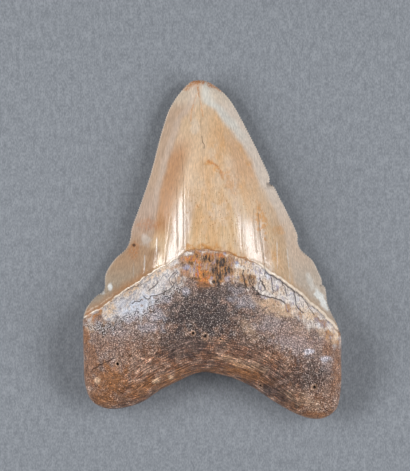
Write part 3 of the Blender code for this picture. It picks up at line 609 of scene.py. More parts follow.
def netted(rim, inner):
    """Inside points and triangles over the rim's points and then these."""
    edges = [(i, (i + 1) % len(rim)) for i in range(len(rim))]
    crossing = True
    # The two sheets may share the rim only, so every chord gets a point of the sheet's own.
    while crossing:
        flat = [Vector(p) for p in np.vstack([rim, inner])]
        _, _, faces, *_ = delaunay_2d_cdt(flat, edges, [], 1, 1e-7)
        faces = [tuple(face) for face in faces]
        found = chords(faces, len(rim))
        crossing = len(found) > 0
        if crossing:
            inner = np.vstack([inner, (rim[found[:, 0]] + rim[found[:, 1]]) / 2])
    return inner, faces


# ---------------------------------------------------------------------------------------------------
# Relief and colour fields of the two faces
#
# A random field is read at the place divided by the size of its lumps in millimetres. Heights are in
# millimetres too, and a ramp's first two values are where it starts and where it is full.

def enamel_step(drop):
    """Enamel lip and the step at its lower border, by the distance below it."""
    lip = 0.10 * np.exp(-(((drop + 0.45) / 0.3) ** 2))
    step = -ENAMEL_LEDGE * ramp(-0.18, 0.14, drop) * (1 - ramp(0, BOURLETTE_FADE, drop))
    return lip + step


def groove_under_lip(x, drop):
    """Dark crack just below the lip, deep on the right and broken in the middle."""
    strength = 0.2 + 0.7 * ramp(15, 19, x) + 0.15 * ramp(-14, -22, x) - 0.35 * ramp(27, 33, x)
    return strength * np.exp(-(((drop - 0.35) / 0.2) ** 2))


def bourlette_share(x, y, drop):
    """1 on the bourlette's skin and 0 off it, with a broken lower edge that thins out on the left."""
    ragged = (1.0 - 0.3 * ramp(4, 12, x)) * layered_rough(x / 2.6, y / 2.6, 11, 3)
    fade = 0.9 + 4.0 * ramp(4, -12, x) + 1.2 * ramp(12, 4, x) + 3.6 * ramp(20, 30, x)
    return ramp(-0.05, 0.1, drop) * ramp(0.0, 1.0, (along(BOURLETTE_DEPTH, x) + ragged - drop) / fade)


def strokes(points, table):
    """(place in the table, points near that line, share that is 1 on the line and 0 off it)."""
    for i, (half, *_, line) in enumerate(table):
        line = shaky(line)
        low, high = line.min(0) - 1.2, line.max(0) + 1.2
        near = np.flatnonzero(((points > low) & (points < high)).all(1))
        if len(near):
            yield i, near, 1 - ramp(0.15, 1.0, distance_to(points[near], line) / half)


def crack_depth(points):
    """(depth, darkness) of the cracks at each place."""
    depth, dark = np.zeros(len(points)), np.zeros(len(points))
    for i, near, share in strokes(points, CRACKS):
        depth[near] = np.maximum(depth[near], CRACKS[i][1] * share)
        dark[near] = np.maximum(dark[near], CRACKS[i][2] * share)
    return depth, dark


def rust_lines(points):
    """Rust along thin lines, 0 to 1."""
    rust = np.zeros(len(points))
    for i, near, share in strokes(points, RUST_LINES):
        rust[near] = np.maximum(rust[near], RUST_LINES[i][1] * share)
    return rust


def lumps(x, y):
    """Height of the broad lumps and hollows."""
    height = np.zeros(len(x))
    for x0, y0, rx, ry, rise in LUMPS:
        height += rise * (1 - ramp(0, 1, np.hypot((x - x0) / rx, (y - y0) / ry)))
    return height


def pores(x, y):
    """(depth, share of the pale ring round it) of the vessel pores."""
    depth, ring = np.zeros(len(x)), np.zeros(len(x))
    for x0, y0, radius, sink in PORES:
        away = np.hypot(x - x0, y - y0) / radius
        depth += sink * (1 - ramp(0.3, 1, away)) - 0.07 * np.exp(-(((away - 1.2) / 0.3) ** 2))
        ring += np.exp(-(((away - 1.2) / 0.5) ** 2))
    return depth, np.clip(ring, 0, 1)


def plates(x, y):
    """Faint long plates and flutes of the crown's enamel."""
    height = 0.035 * rough(x / 2.6 + y * 0.01, y / 40, 3) + 0.014 * rough(x / 0.9, y / 22, 5)
    for x0, lean, half, tilt in PLATES:
        t = (x - (x0 - lean * y)) / half
        height += tilt * half * t * np.exp(-t * t) * (1 - ramp(20, 34, y))
    return height


def lingual_detail(points, rim_depth, arch_run, border):
    """Relief and colour fields of the upper sheet, as a dictionary of arrays."""
    x, y = points.T
    drop = below(border, x, y)
    enamel = 1 - ramp(-0.02, 0.02, drop)
    skin = bourlette_share(x, y, drop)
    root = (1 - enamel) * (1 - skin)
    groove = groove_under_lip(x, drop)
    crack, dark = crack_depth(points)
    pore, pore_ring = pores(x, y)
    folds = 0.10 * (1 - 2 * np.abs(rough(x / 1.5 + rough(x / 4, y / 4, 8), y / 7, 31)))
    folds += 0.06 * layered_rough(x / 1.1, y / 1.6, 37, 2)
    # Fibres follow the arch between the lobes, close to its edge and fainter on the lobes.
    along_arch = (1 - ramp(9, 18, rim_depth)) * ramp(-24, -31, y) * (0.35 + 0.65 * ramp(34, 26, np.abs(x)))
    fibre = rough(arch_run / 5.0, rim_depth / 0.55, 41) * along_arch
    coarse = 0.16 * layered_rough(x / 4.5, y / 4.0, 51, 2) + 0.07 * layered_rough(x / 1.6, y / 1.4, 57, 2)
    relief = enamel_step(drop) - 0.32 * groove + lumps(x, y) - crack
    relief += plates(x, y) * enamel
    relief += skin * (0.15 + folds * ramp(0.4, 1.6, drop))
    relief += root * (coarse + 0.09 * fibre) * ramp(0.2, 3.0, drop)
    sway = 0.6 * layered_rough(x / 3.0, y / 7.0, 61, 2)
    return {
        "relief": relief * ramp(0.05, 2.0, rim_depth) - pore,
        "enamel": enamel,
        "skin": skin,
        "root": root,
        "drop": drop,
        "fibre": along_arch * root,
        # Dark in the cracks and the groove under the lip, and near black in the pores: painted shade in the
        # holes.
        "dark": np.maximum(np.maximum(dark, groove * (1 - enamel)), ramp(0.15, 0.6, pore)),
        "rust": np.maximum(patches(RUST, x, y), rust_lines(points)),
        "pale": patches(PALE_AND_PAINTED_LIGHT, x, y),
        "dusk": patches(DUSK_AND_PAINTED_SHADE, x, y) * (1 - 0.6 * pore_ring),
        "tan": np.maximum(patches(TAN, x, y), 0.4 * pore_ring),
        "folded": 0.15 + 0.85 * ramp(-12, -7, x),
        "wedge_left": x - along(WEDGE_LEFT, y) + sway,
        "wedge_right": along(WEDGE_RIGHT, y) - x + sway,
    }


def labial_detail(points, rim_depth, border):
    """Relief and colour fields of the lower sheet."""
    x, y = points.T
    drop = below(border, x, y)
    enamel = 1 - ramp(-0.02, 0.02, drop)
    skin = ramp(-0.05, 0.1, drop) * ramp(0.0, 0.2, 2.2 + 0.8 * layered_rough(x / 3, y / 3, 71, 2) - drop)
    root = (1 - enamel) * (1 - skin)
    step = 0.25 * ramp(-0.18, 0.14, drop) * (1 - ramp(0, BOURLETTE_FADE, drop))
    coarse = 0.1 * (1 + layered_rough(x / 4.5, y / 4.0, 81, 2))
    coarse += 0.05 * (1 + layered_rough(x / 1.6, y / 1.4, 83, 2))
    relief = step + root * coarse * ramp(0.2, 3.0, drop)
    relief += enamel * (0.03 + 0.025 * rough(x / 3, y / 40, 87))
    clouds = ramp(0.1, 0.7, layered_rough(x / 14, y / 12, 91, 2))
    return {
        "relief": relief * ramp(0.05, 2.0, rim_depth),
        "enamel": enamel,
        "skin": skin,
        "root": root,
        "drop": drop,
        "fibre": np.zeros(len(x)),
        "dark": np.exp(-(((drop - 0.3) / 0.2) ** 2)) * 0.6,
        "rust": clouds * 0.6,
        "pale": ramp(0.2, 0.8, layered_rough(x / 9 + 5, y / 8, 95, 2)) * 0.4,
        "dusk": np.full(len(x), 0.4),
        "tan": ramp(0.2, 0.8, layered_rough(x / 7 + 9, y / 8, 97, 2)) * 0.4,
        "folded": np.full(len(x), 0.5),
        "wedge_left": x - along(WEDGE_LEFT, y),
        "wedge_right": along(WEDGE_RIGHT, y) - x,
    }


# What each point carries: its distance from the rim and place along it, its shares of enamel, skin and
# root, its distance below the enamel's border, its stains, and its place in the tan wedge.
FIELDS = ("rim", "run", "enamel", "skin", "root", "drop", "dark", "rust", "pale", "dusk", "tan", "fibre",
          "folded", "wedge_left", "wedge_right")


def sheet(tooth, rim, arch, on_top):
    """(points with their heights, fields, triangles) of one sheet, with the rim's points first."""
    border = wavered(LINGUAL_ENAMEL if on_top else LABIAL_ENAMEL)
    rounding = LINGUAL_ROUND if on_top else LABIAL_ROUND
    spacing = TOP_SPACING if on_top else UNDER_SPACING
    inner, faces = netted(rim, net_points(tooth, rim, border, rounding, spacing, on_top))
    points = np.vstack([rim, inner])
    depth = np.r_[np.zeros(len(rim)), distance_to(inner, rim, True)]
    nearest = [arch.find((x, y, 0))[1] for x, y in points.tolist()]
    run = np.array(nearest) * RIM_SPACING
    x, y = points.T
    if on_top:
        fields = lingual_detail(points, depth, run, border)
        height = tooth.lingual(x, y, depth) + fields["relief"]
        height = np.maximum(height, tooth.labial(x, y, depth) + LEAST_WALL * ramp(0.2, 2.5, depth))
    else:
        fields = labial_detail(points, depth, border)
        height = np.maximum(tooth.labial(x, y, depth) + fields["relief"], 0.0)
    height[: len(rim)] = along(RIM_LEVEL, rim[:, 1])
    fields.update(rim=depth, run=run)
    return np.c_[points, height], fields, faces


def surface_mesh():
    """The whole skin of the tooth before serrations and grain, in metres, with its fields."""
    tooth = Tooth()
    rim = closed_curve(OUTLINE, RIM_SPACING)
    nearest = kdtree.KDTree(len(rim))
    for i, (x, y) in enumerate(rim.tolist()):
        nearest.insert((x, y, 0), i)
    nearest.balance()
    top, top_fields, top_faces = sheet(tooth, rim, nearest, True)
    under, under_fields, under_faces = sheet(tooth, rim, nearest, False)
    count = len(rim)
    points = np.vstack([top, under[count:]]) * MM
    shift = len(top) - count
    lower = np.array(under_faces)[:, ::-1]
    lower = np.where(lower >= count, lower + shift, lower)
    faces = np.vstack([np.array(top_faces), lower])
    mesh = bpy.data.meshes.new("fossil_tooth")
    mesh.from_pydata(points.tolist(), [], faces.tolist())
    for name in FIELDS:
        values = np.r_[top_fields[name], under_fields[name][count:]].astype(np.float32)
        mesh.attributes.new(name, "FLOAT", "POINT").data.foreach_set("value", values)
    inward = offset_ring(rim, np.ones((count, 1))) - rim
    rim_point = (np.r_[top_fields["run"], under_fields["run"][count:]] / RIM_SPACING).astype(int) % count
    vectors = np.c_[inward[rim_point], np.zeros(len(rim_point))].astype(np.float32)
    mesh.attributes.new("inward", "FLOAT_VECTOR", "POINT").data.foreach_set("vector", vectors.ravel())
    run, rim_depth = (np.r_[top_fields[n], under_fields[n][count:]] for n in ("run", "rim"))
    flow = (np.c_[run, rim_depth, np.zeros(len(run))] * MM).astype(np.float32)
    mesh.attributes.new("flow", "FLOAT_VECTOR", "POINT").data.foreach_set("vector", flow.ravel())
    shares = [np.r_[top_fields[n], under_fields[n][count:]] for n in ("enamel", "skin")]
    layer = layer_of_faces(faces, shares)
    mesh.attributes.new("layer", "INT", "FACE").data.foreach_set("value", layer)
    return mesh


def layer_of_faces(faces, shares):
    """0 for enamel, 1 for bourlette and 2 for root, face by face."""
    enamel, skin = (share[faces].mean(1) for share in shares)
    return np.where(enamel > 0.5, 0, np.where(skin > 0.5, 1, 2)).astype(np.int32)


# ---------------------------------------------------------------------------------------------------
# Materials

def linear(colour):
    """sRGB hex to a linear colour with alpha."""
    parts = [int(colour[i : i + 2], 16) / 255 for i in (1, 3, 5)]
    return tuple(p / 12.92 if p <= 0.04045 else ((p + 0.055) / 1.055) ** 2.4 for p in parts) + (1.0,)


def add(tree, kind, links=None, **settings):
    """Adds a node: settings are its own options, links set its sockets or join them to others."""
    made = tree.nodes.new(kind)
    for name, value in settings.items():
        setattr(made, name, value)
    for socket, value in (links or {}).items():
        if isinstance(value, bpy.types.NodeSocket):
            tree.links.new(value, made.inputs[socket])
        else:
            made.inputs[socket].default_value = value
    return made


def surface(tree):
    """What the materials read: the tooth's own fields, its place, and its height towards the tip in mm."""
    found = {}
    for name in FIELDS:
        found[name] = add(tree, "ShaderNodeAttribute", attribute_name=name).outputs["Fac"]
    found["place"] = add(tree, "ShaderNodeTexCoord").outputs["Object"]
    found["flow"] = add(tree, "ShaderNodeAttribute", attribute_name="flow").outputs["Vector"]
    towards_tip = add(tree, "ShaderNodeSeparateXYZ", {0: found["place"]}).outputs["Y"]
    in_mm = add(tree, "ShaderNodeMath", {0: towards_tip, 1: MM_PER_METRE}, operation="MULTIPLY")
    found["up"] = in_mm.outputs[0]
    return found


def grain(tree, place, size_mm, stretch=(1, 1, 1), detail=3.0, roughness=0.5):
    """A random pattern over a place, whose lumps are size_mm across, drawn out along an axis."""
    drawn = add(tree, "ShaderNodeMapping", {"Vector": place, "Scale": stretch}).outputs["Vector"]
    settings = {"Vector": drawn, "Scale": MM_PER_METRE / size_mm, "Detail": detail, "Roughness": roughness}
    return add(tree, "ShaderNodeTexNoise", settings).outputs["Fac"]


def share(tree, strength, *steps):
    """A share of the strength: each step (value, off, full) fades it out towards the value's off end."""
    result = strength
    for value, off, full in steps:
        sockets = {"Value": value, "From Min": off, "From Max": full, "To Max": result}
        result = add(tree, "ShaderNodeMapRange", sockets, interpolation_type="SMOOTHSTEP").outputs["Result"]
    return result


def painted(tree, ground, coats):
    """Coats of colour laid one over another: (colour, strength, steps as in share)."""
    colour = ground
    for tint, strength, *steps in coats:
        tint = linear(tint) if isinstance(tint, str) else tint
        sockets = {0: share(tree, strength, *steps), 6: colour, 7: tint}
        colour = add(tree, "ShaderNodeMix", sockets, data_type="RGBA").outputs[2]
    return colour


def shaded(tree, colour, pattern, contrast, *steps):
    """The colour darkened in the pattern's hollows and lightened on its crests, its hue kept."""
    sockets = {"Value": pattern, "From Min": 0.3, "From Max": 0.7, "To Min": -1.2, "To Max": 1.2}
    power = add(tree, "ShaderNodeMapRange", sockets).outputs["Result"]
    gain = add(tree, "ShaderNodeMath", {0: contrast, 1: power}, operation="POWER").outputs[0]
    gained = add(tree, "ShaderNodeVectorMath", {0: colour, "Scale": gain}, operation="SCALE").outputs[0]
    return painted(tree, colour, [(gained, 1.0, *steps)])


def bumped(tree, *reliefs):
    """A normal from (height field, size in mm) pairs."""
    normal = None
    for height, size_mm in reliefs:
        sockets = {"Height": height, "Distance": size_mm * MM, "Strength": 1.0}
        if normal is not None:
            sockets["Normal"] = normal
        normal = add(tree, "ShaderNodeBump", sockets).outputs["Normal"]
    return normal


def new_material(name):
    """(material, its node tree, its shader)"""
    material = bpy.data.materials.new(name)
    material.use_nodes = True
    tree = material.node_tree
    return material, tree, tree.nodes["Principled BSDF"]


def finish(tree, shader, colour, roughness, normal, ior):
    """Joins the paint, gloss and relief of a dielectric to its shader."""
    tree.links.new(colour, shader.inputs["Base Color"])
    tree.links.new(roughness, shader.inputs["Roughness"])
    tree.links.new(normal, shader.inputs["Normal"])
    shader.inputs["IOR"].default_value = ior
    shader.inputs["Metallic"].default_value = 0.0


def fossil_enamel():
    """Fluorapatite enamel, worn to a polish by sediment: glassy.

    Tan where the dentine shows through, cream and grey at the thin cutting edges, with fine streaks
    along its length.
    """
    material, tree, shader = new_material("fossil enamel")
    on = surface(tree)
    up, left, right, drop, rim = on["up"], on["wedge_left"], on["wedge_right"], on["drop"], on["rim"]
    streak = grain(tree, on["place"], 0.45, (1, 0.025, 1), 2.0, 0.6)
    fine = grain(tree, on["place"], 0.3, (1, 0.07, 1), 2.0)
    speck = grain(tree, on["place"], 0.5, (1, 0.6, 1), 3.0, 0.6)
    cloud = grain(tree, on["place"], 5, (1, 0.3, 1), 2.0)
    wander = grain(tree, on["place"], 1.6, (1, 1, 1), 3.0)
    off_left, off_right = (left, 1.3, -1.3), (right, 1.3, -1.6)
    wedge = [
        ("#E4C6A6", 1.0, (up, 6, 26)),
        ("#D9BB9A", 1.0, (up, 30, 42)),
        ("#E0AE78", 0.5, (cloud, 0.44, 0.60), (left, 5, 14)),
        ("#DFC4B0", 0.4, (cloud, 0.48, 0.34)),
        ("#BF8B60", 0.85, (left, 8.5, 3.0), (up, 40, 30), (up, 0, 9)),
        ("#CC9660", 0.5, (right, 8.0, 4.5), (up, 16, 26), (up, 43, 33)),
        ("#CDBDB4", 0.55, (left, 5, 7.5), (left, 13.5, 11), (up, 22, 10)),
        ("#CDBDB4", 0.55, (right, 5, 8), (right, 16, 13), (up, 14, 6)),
        ("#C5AB92", 0.8, (right, 9, 0), (up, 26, 10)),
    ]
    cutting_edges = [
        ("#C1A58D", 1.0, off_left),
        ("#C2A895", 1.0, off_left, (up, 24, 12)),
        ("#B8977A", 1.0, off_left, (up, 8, 0)),
        ("#AE9C88", 1.0, off_left, (up, -2, -12)),
        # Darker brown at the foot of the left flank: partly its colour, partly painted shade that dims the
        # lamp's highlight there.
        ("#A98464", 0.9, (left, 5.0, 3.2), (left, -1, 1), (up, 2, -1)),
        ("#DACBBD", 1.0, off_right),
        ("#D3BCA8", 1.0, off_right, (up, 24, 0)),
        ("#C4B5A6", 1.0, off_right, (up, 0, -10)),
        ("#DDCDB9", 0.7, (up, 45.5, 50.5)),
        ("#C98A50", 0.7, (up, 52.5, 56.5)),
        ("#E2D2C6", 0.28, (left, -3.2, -1.5), (left, 0.6, -1.0), (up, 10, 22)),
        ("#DCDCD5", 0.65, (right, -5.2, -2.4), (right, 0.8, -1.6), (up, 32, 42)),
    ]
    flecks = [
        # Pale patches, among them the painted highlights on the open cracks and on the right shoulder's
        # nacre.
        ("#F1F2EF", 0.9, (on["pale"], 0, 1)),
        ("#D2903F", 0.65, (on["tan"], 0, 1), (wander, 0.36, 0.50)),
        ("#A8692B", 0.55, (speck, 0.58, 0.68), (up, 34, 12), (left, 1, 5), (right, 1, 5)),
    ]
    lower_lip_and_highlight = [
        ("#B67B45", 0.6, (drop, -3.8, -0.6), (up, 2, -6), (left, 4, -3)),
        ("#B78D62", 0.4, (drop, -3.0, -0.6), (up, 2, -6), (right, 16, 8)),
        # The cream lines along the lip are partly its colour and partly a painted highlight where the
        # raised lip catches the light.
        ("#FBEEDD", 0.95, (drop, -0.62, -0.35), (drop, 0.05, -0.1), (wander, 0.34, 0.46), (left, 13, 9)),
        ("#8A5A34", 0.5, (drop, -0.6, -0.3), (drop, 0.1, -0.1), (left, 9, 13), (right, 10, 14)),
        ("#F8E7D3", 0.9, (drop, -1.0, -0.6), (drop, 0.05, -0.1), (right, 13, 10)),
        ("#E9D3BA", 0.6, (drop, -1.8, -1.5), (drop, -1.1, -1.3), (left, -5, -8), (wander, 0.42, 0.52)),
    ]
    stains = [
        ("#E6DCCD", 0.5, (rim, 0.6, 0.1)),
        ("#C07330", 0.8, (on["rust"], 0, 1), (speck, 0.36, 0.52)),
        ("#43302A", 0.8, (on["dusk"], 0, 1)),
        ("#4A3626", 0.85, (on["dark"], 0, 1)),
    ]
    colour = painted(tree, linear("#E1C39F"), wedge + cutting_edges + flecks + lower_lip_and_highlight + stains)
    colour = shaded(tree, colour, streak, 1.14)
    colour = shaded(tree, colour, fine, 1.08)
    # Polished over the swell of the base, worn duller towards the tip.
    worn = share(tree, 0.28, (up, 15, 26))
    left_flank = share(tree, 0.3, (left, 7.8, 6.0), (up, 7, 16))
    right_flank = share(tree, 0.3, (right, 15, 12), (up, 6, 13))
    right_foot = share(tree, 0.03, (right, 20, 15))
    polish = share(tree, 0.14, (fine, 0.3, 0.7))
    roughness = 0.09
    for part in (worn, polish, left_flank, right_flank, right_foot):
        roughness = add(tree, "ShaderNodeMath", {0: part, 1: roughness}, operation="ADD").outputs[0]
    normal = bumped(tree, (streak, 0.03), (fine, 0.008))
    finish(tree, shader, colour, roughness, normal, 1.62)
    return material


def root_paint(tree, on):
    """(colour, wrinkles, fibres) of bare dentine: grey-brown, wrinkled like leather, rusty at its ends."""
    cloud = grain(tree, on["place"], 3.0, (1, 1, 1), 4.0, 0.6)
    blush = grain(tree, on["place"], 1.9, (1, 1, 1), 3.0, 0.6)
    wrinkle = grain(tree, on["place"], 0.37, (1, 1, 1), 3.0, 0.55)
    coarse = grain(tree, on["place"], 1.1, (1, 1, 1), 2.0, 0.5)
    fibre = grain(tree, on["flow"], 0.42, (0.11, 1, 1), 3.0, 0.6)
    along_arch = (on["fibre"], 0, 1)
    pebbly = (on["skin"], 0, 0.15), (on["folded"], 0.7, 0.2)
    colour = painted(tree, linear("#7F5B47"), [
        ("#A58674", 0.9, (cloud, 0.42, 0.58)),
        ("#84583F", 0.6, (blush, 0.50, 0.62)),
        ("#8E7F7B", 0.5, (on["drop"], 22, 12)),
        ("#9C6A44", 0.95, (on["rust"], 0, 1)),
        ("#433939", 0.95, (on["dusk"], 0, 1)),
        ("#E0BC9C", 0.8, (on["tan"], 0, 1)),
        # Pale patches, among them painted sheen on the right of the root and the left of the bourlette.
        ("#C2BEC8", 0.85, (on["pale"], 0, 1)),
    ])
    colour = shaded(tree, colour, coarse, 1.3)
    less_wrinkled = (on["rust"], 1.6, 0.1), (on["fibre"], 2.8, 0), (on["tan"], 1.4, 0)
    colour = shaded(tree, colour, wrinkle, 3.2, *less_wrinkled)
    colour = painted(tree, colour, [
        # Painted glints: pale cream on the wrinkles' crests stands in for small highlights.
        ("#F1E6DE", 0.65, (wrinkle, 0.56, 0.65), (on["rust"], 0.9, 0), (on["fibre"], 1.2, 0)),
        ("#F4EFF0", 0.95, (wrinkle, 0.52, 0.58), *pebbly),
        ("#15100F", 0.95, (wrinkle, 0.50, 0.44), *pebbly),
    ])
    colour = shaded(tree, colour, fibre, 2.4, along_arch)
    return colour, wrinkle, fibre


def skin_paint(tree, on):
    """(colour, folds, flecks) of the bourlette: cream and blue-grey, folded, with rust and black ticks."""
    fold = grain(tree, on["place"], 0.45, (1, 0.22, 1), 3.0, 0.6)
    blotch = grain(tree, on["place"], 1.3, (1, 0.6, 1), 4.0, 0.65)
    tick = grain(tree, on["place"], 0.6, (1, 0.25, 1), 2.0, 0.5)
    streak = grain(tree, on["place"], 0.7, (1, 0.25, 1), 2.0, 0.5)
    fleck = grain(tree, on["place"], 0.36, (1, 0.7, 1), 3.0, 0.6)
    curl = grain(tree, on["place"], 1.5, (1, 0.5, 1), 1.0, 0.4)
    folded = (on["folded"], 0, 1)
    colour = painted(tree, linear("#F6EAE2"), [
        ("#BDB1AF", 0.8, (blotch, 0.50, 0.62)),
        ("#F2CEA6", 0.8, (on["tan"], 0, 1)),
        ("#8B8A98", 0.7, (blotch, 0.53, 0.42), (on["folded"], 0.9, 0.3)),
        ("#FBF3EA", 0.6, (fold, 0.53, 0.63)),
        ("#B58A66", 0.9, (on["rust"], 0, 0.5)),
        ("#D4782C", 0.9, (on["rust"], 0.45, 0.9)),
        ("#E3A04C", 0.8, (on["rust"], 0.2, 0.9), (streak, 0.53, 0.60)),
        # Blue-white where pale: the skin's own blue-grey, and a painted sheen on the left of the bourlette.
        ("#E4EAF8", 0.85, (on["pale"], 0, 1), (on["rust"], 0.3, 0.1)),
        ("#A7AECA", 0.85, (on["pale"], 0.2, 0.8), (on["rust"], 0.1, 0.3)),
        ("#A9A2C0", 0.6, (streak, 0.42, 0.34), folded),
        ("#6B4330", 0.55, (fold, 0.46, 0.37), folded),
        ("#B4824E", 0.7, (on["dusk"], 0.0, 0.5)),
        ("#C9843F", 0.7, (on["dusk"], 0.1, 0.9), (streak, 0.54, 0.60)),
        ("#1F1A20", 0.92, (on["dusk"], 0.1, 0.8), (tick, 0.46, 0.53)),
        ("#2A2224", 0.5, (on["dusk"], 0.6, 1.0), (tick, 0.60, 0.52)),
    ])
    colour = shaded(tree, colour, fleck, 1.25)
    colour = painted(tree, colour, [("#5A3D33", 0.6, (curl, 0.472, 0.490), (curl, 0.512, 0.494))])
    return colour, fold, fleck


def bourlette_skin():
    """Bourlette: a thin, crazed skin of fine enamel over the dentine, flaked and stained.

    It has a silky sheen, and lets the root's own brown show where it thins out.
    """
    material, tree, shader = new_material("bourlette skin")
    on = surface(tree)
    bare, wrinkle, _ = root_paint(tree, on)
    skin, fold, fleck = skin_paint(tree, on)
    colour = painted(tree, bare, [
        (skin, 1.0, (on["skin"], 0.1, 0.9)),
        ("#33211A", 0.95, (on["dark"], 0, 0.9)),
    ])
    roughness = add(tree, "ShaderNodeMapRange", {"Value": fleck, "From Min": 0.3, "From Max": 0.7,
                                                 "To Min": 0.22, "To Max": 0.38}).outputs["Result"]
    normal = bumped(tree, (fold, 0.25), (fleck, 0.08), (wrinkle, 0.15))
    finish(tree, shader, colour, roughness, normal, 1.60)
    return material


def root_dentine():
    """Mineralised root dentine: porous and wrinkled, with small glassy glints.

    Dark grey-brown, rusty at its worn ends, under the last thin remains of the bourlette.
    """
    material, tree, shader = new_material("root dentine")
    on = surface(tree)
    bare, wrinkle, fibre = root_paint(tree, on)
    skin, _, _ = skin_paint(tree, on)
    colour = painted(tree, bare, [
        (skin, 1.0, (on["skin"], 0.1, 0.9)),
        # Near black in the pores is painted shade; elsewhere this is the dark of the cracks.
        ("#17110D", 1.0, (on["dark"], 0, 1)),
    ])
    roughness = add(tree, "ShaderNodeMapRange", {"Value": wrinkle, "From Min": 0.3, "From Max": 0.7,
                                                 "To Min": 0.42, "To Max": 0.22}).outputs["Result"]
    normal = bumped(tree, (wrinkle, 0.5), (fibre, 0.25))
    finish(tree, shader, colour, roughness, normal, 1.58)
    return material


# ---------------------------------------------------------------------------------------------------
# Serrations and grain

# Inputs of the tree: lengths along the surface in millimetres, depths and heights in metres.
TREE_INPUTS = [
    ("Serration pitch", SERRATION_PITCH),
    ("Serration depth", SERRATION_DEPTH * MM),
    ("Edge width", 0.8),
    ("Grain size", 0.5),
    ("Grain height", 0.4 * MM),
    ("Seed", 4.0),
]
WEAR_SIZE = 9


def serrated_tree(materials):
    """Geometry Nodes: cuts the serrations, roughens the root and gives each layer its material."""
    tree = bpy.data.node_groups.new("serrate and roughen", "GeometryNodeTree")
    tree.interface.new_socket("Geometry", in_out="INPUT", socket_type="NodeSocketGeometry")
    tree.interface.new_socket("Geometry", in_out="OUTPUT", socket_type="NodeSocketGeometry")
    keys = {name: tree.interface.new_socket(name, in_out="INPUT", socket_type="NodeSocketFloat").identifier
            for name, _ in TREE_INPUTS}
    given = add(tree, "NodeGroupInput").outputs
    kinds = {"run": "FLOAT", "rim": "FLOAT", "enamel": "FLOAT", "root": "FLOAT", "inward": "FLOAT_VECTOR",
             "layer": "INT"}
    on = {}
    for name, kind in kinds.items():
        field = add(tree, "GeometryNodeInputNamedAttribute", {"Name": name}, data_type=kind)
        on[name] = field.outputs["Attribute"]
    place = add(tree, "GeometryNodeInputPosition").outputs["Position"]

    # One notch to a pitch, deepest at the rim, gone an edge width in from it, and worn away in places.
    half_pitch = add(tree, "ShaderNodeMath", {0: given["Serration pitch"], 1: 2.0}, operation="DIVIDE")
    half_pitch = half_pitch.outputs[0]
    crest = add(tree, "ShaderNodeMath", {0: on["run"], 1: half_pitch}, operation="PINGPONG").outputs[0]
    notch = {"Value": crest, "From Max": half_pitch, "To Min": given["Serration depth"], "To Max": 0.0}
    cut = add(tree, "ShaderNodeMapRange", notch).outputs["Result"]
    near_rim = {"Value": on["rim"], "From Max": given["Edge width"], "To Min": 1.0, "To Max": 0.0}
    edge = add(tree, "ShaderNodeMapRange", near_rim).outputs["Result"]
    worn = {"Vector": place, "W": given["Seed"], "Scale": MM_PER_METRE / WEAR_SIZE, "Detail": 2.0}
    wear = add(tree, "ShaderNodeTexNoise", worn, noise_dimensions="4D").outputs["Fac"]
    unworn = {"Value": wear, "From Min": 0.39, "From Max": 0.54, "To Min": 0.25}
    kept = add(tree, "ShaderNodeMapRange", unworn).outputs["Result"]
    for factor in (edge, kept, on["enamel"]):
        cut = add(tree, "ShaderNodeMath", {0: cut, 1: factor}, operation="MULTIPLY").outputs[0]
    inwards = add(tree, "ShaderNodeVectorMath", {0: on["inward"], "Scale": cut}, operation="SCALE")
    serrated = {"Geometry": given["Geometry"], "Offset": inwards.outputs["Vector"]}
    serrated = add(tree, "GeometryNodeSetPosition", serrated).outputs["Geometry"]

    # The root's grain stands mostly below the smooth surface, and dies out at the rim.
    fineness = add(tree, "ShaderNodeMath", {0: MM_PER_METRE, 1: given["Grain size"]}, operation="DIVIDE")
    knobbly = {"Vector": place, "W": given["Seed"], "Scale": fineness.outputs[0], "Detail": 2.0,
               "Roughness": 0.6}
    rise = add(tree, "ShaderNodeTexNoise", knobbly, noise_dimensions="4D").outputs["Fac"]
    rise = add(tree, "ShaderNodeMath", {0: rise, 1: 0.62}, operation="SUBTRACT").outputs[0]
    away = add(tree, "ShaderNodeMapRange", {"Value": on["rim"], "From Max": 1.2}).outputs["Result"]
    for factor in (given["Grain height"], away, on["root"]):
        rise = add(tree, "ShaderNodeMath", {0: rise, 1: factor}, operation="MULTIPLY").outputs[0]
    facing = add(tree, "GeometryNodeInputNormal").outputs["Normal"]
    proud = add(tree, "ShaderNodeVectorMath", {0: facing, "Scale": rise}, operation="SCALE")
    roughened = {"Geometry": serrated, "Offset": proud.outputs["Vector"]}
    roughened = add(tree, "GeometryNodeSetPosition", roughened).outputs["Geometry"]

    geometry = add(tree, "GeometryNodeRealizeInstances", {"Geometry": roughened}).outputs["Geometry"]
    for layer, material in enumerate(materials):
        chosen = add(tree, "FunctionNodeCompare", {2: on["layer"], 3: layer}, data_type="INT",
                     operation="EQUAL").outputs["Result"]
        sockets = {"Geometry": geometry, "Selection": chosen, "Material": material}
        geometry = add(tree, "GeometryNodeSetMaterial", sockets).outputs[0]
    add(tree, "NodeGroupOutput", {0: geometry})
    return tree, keys


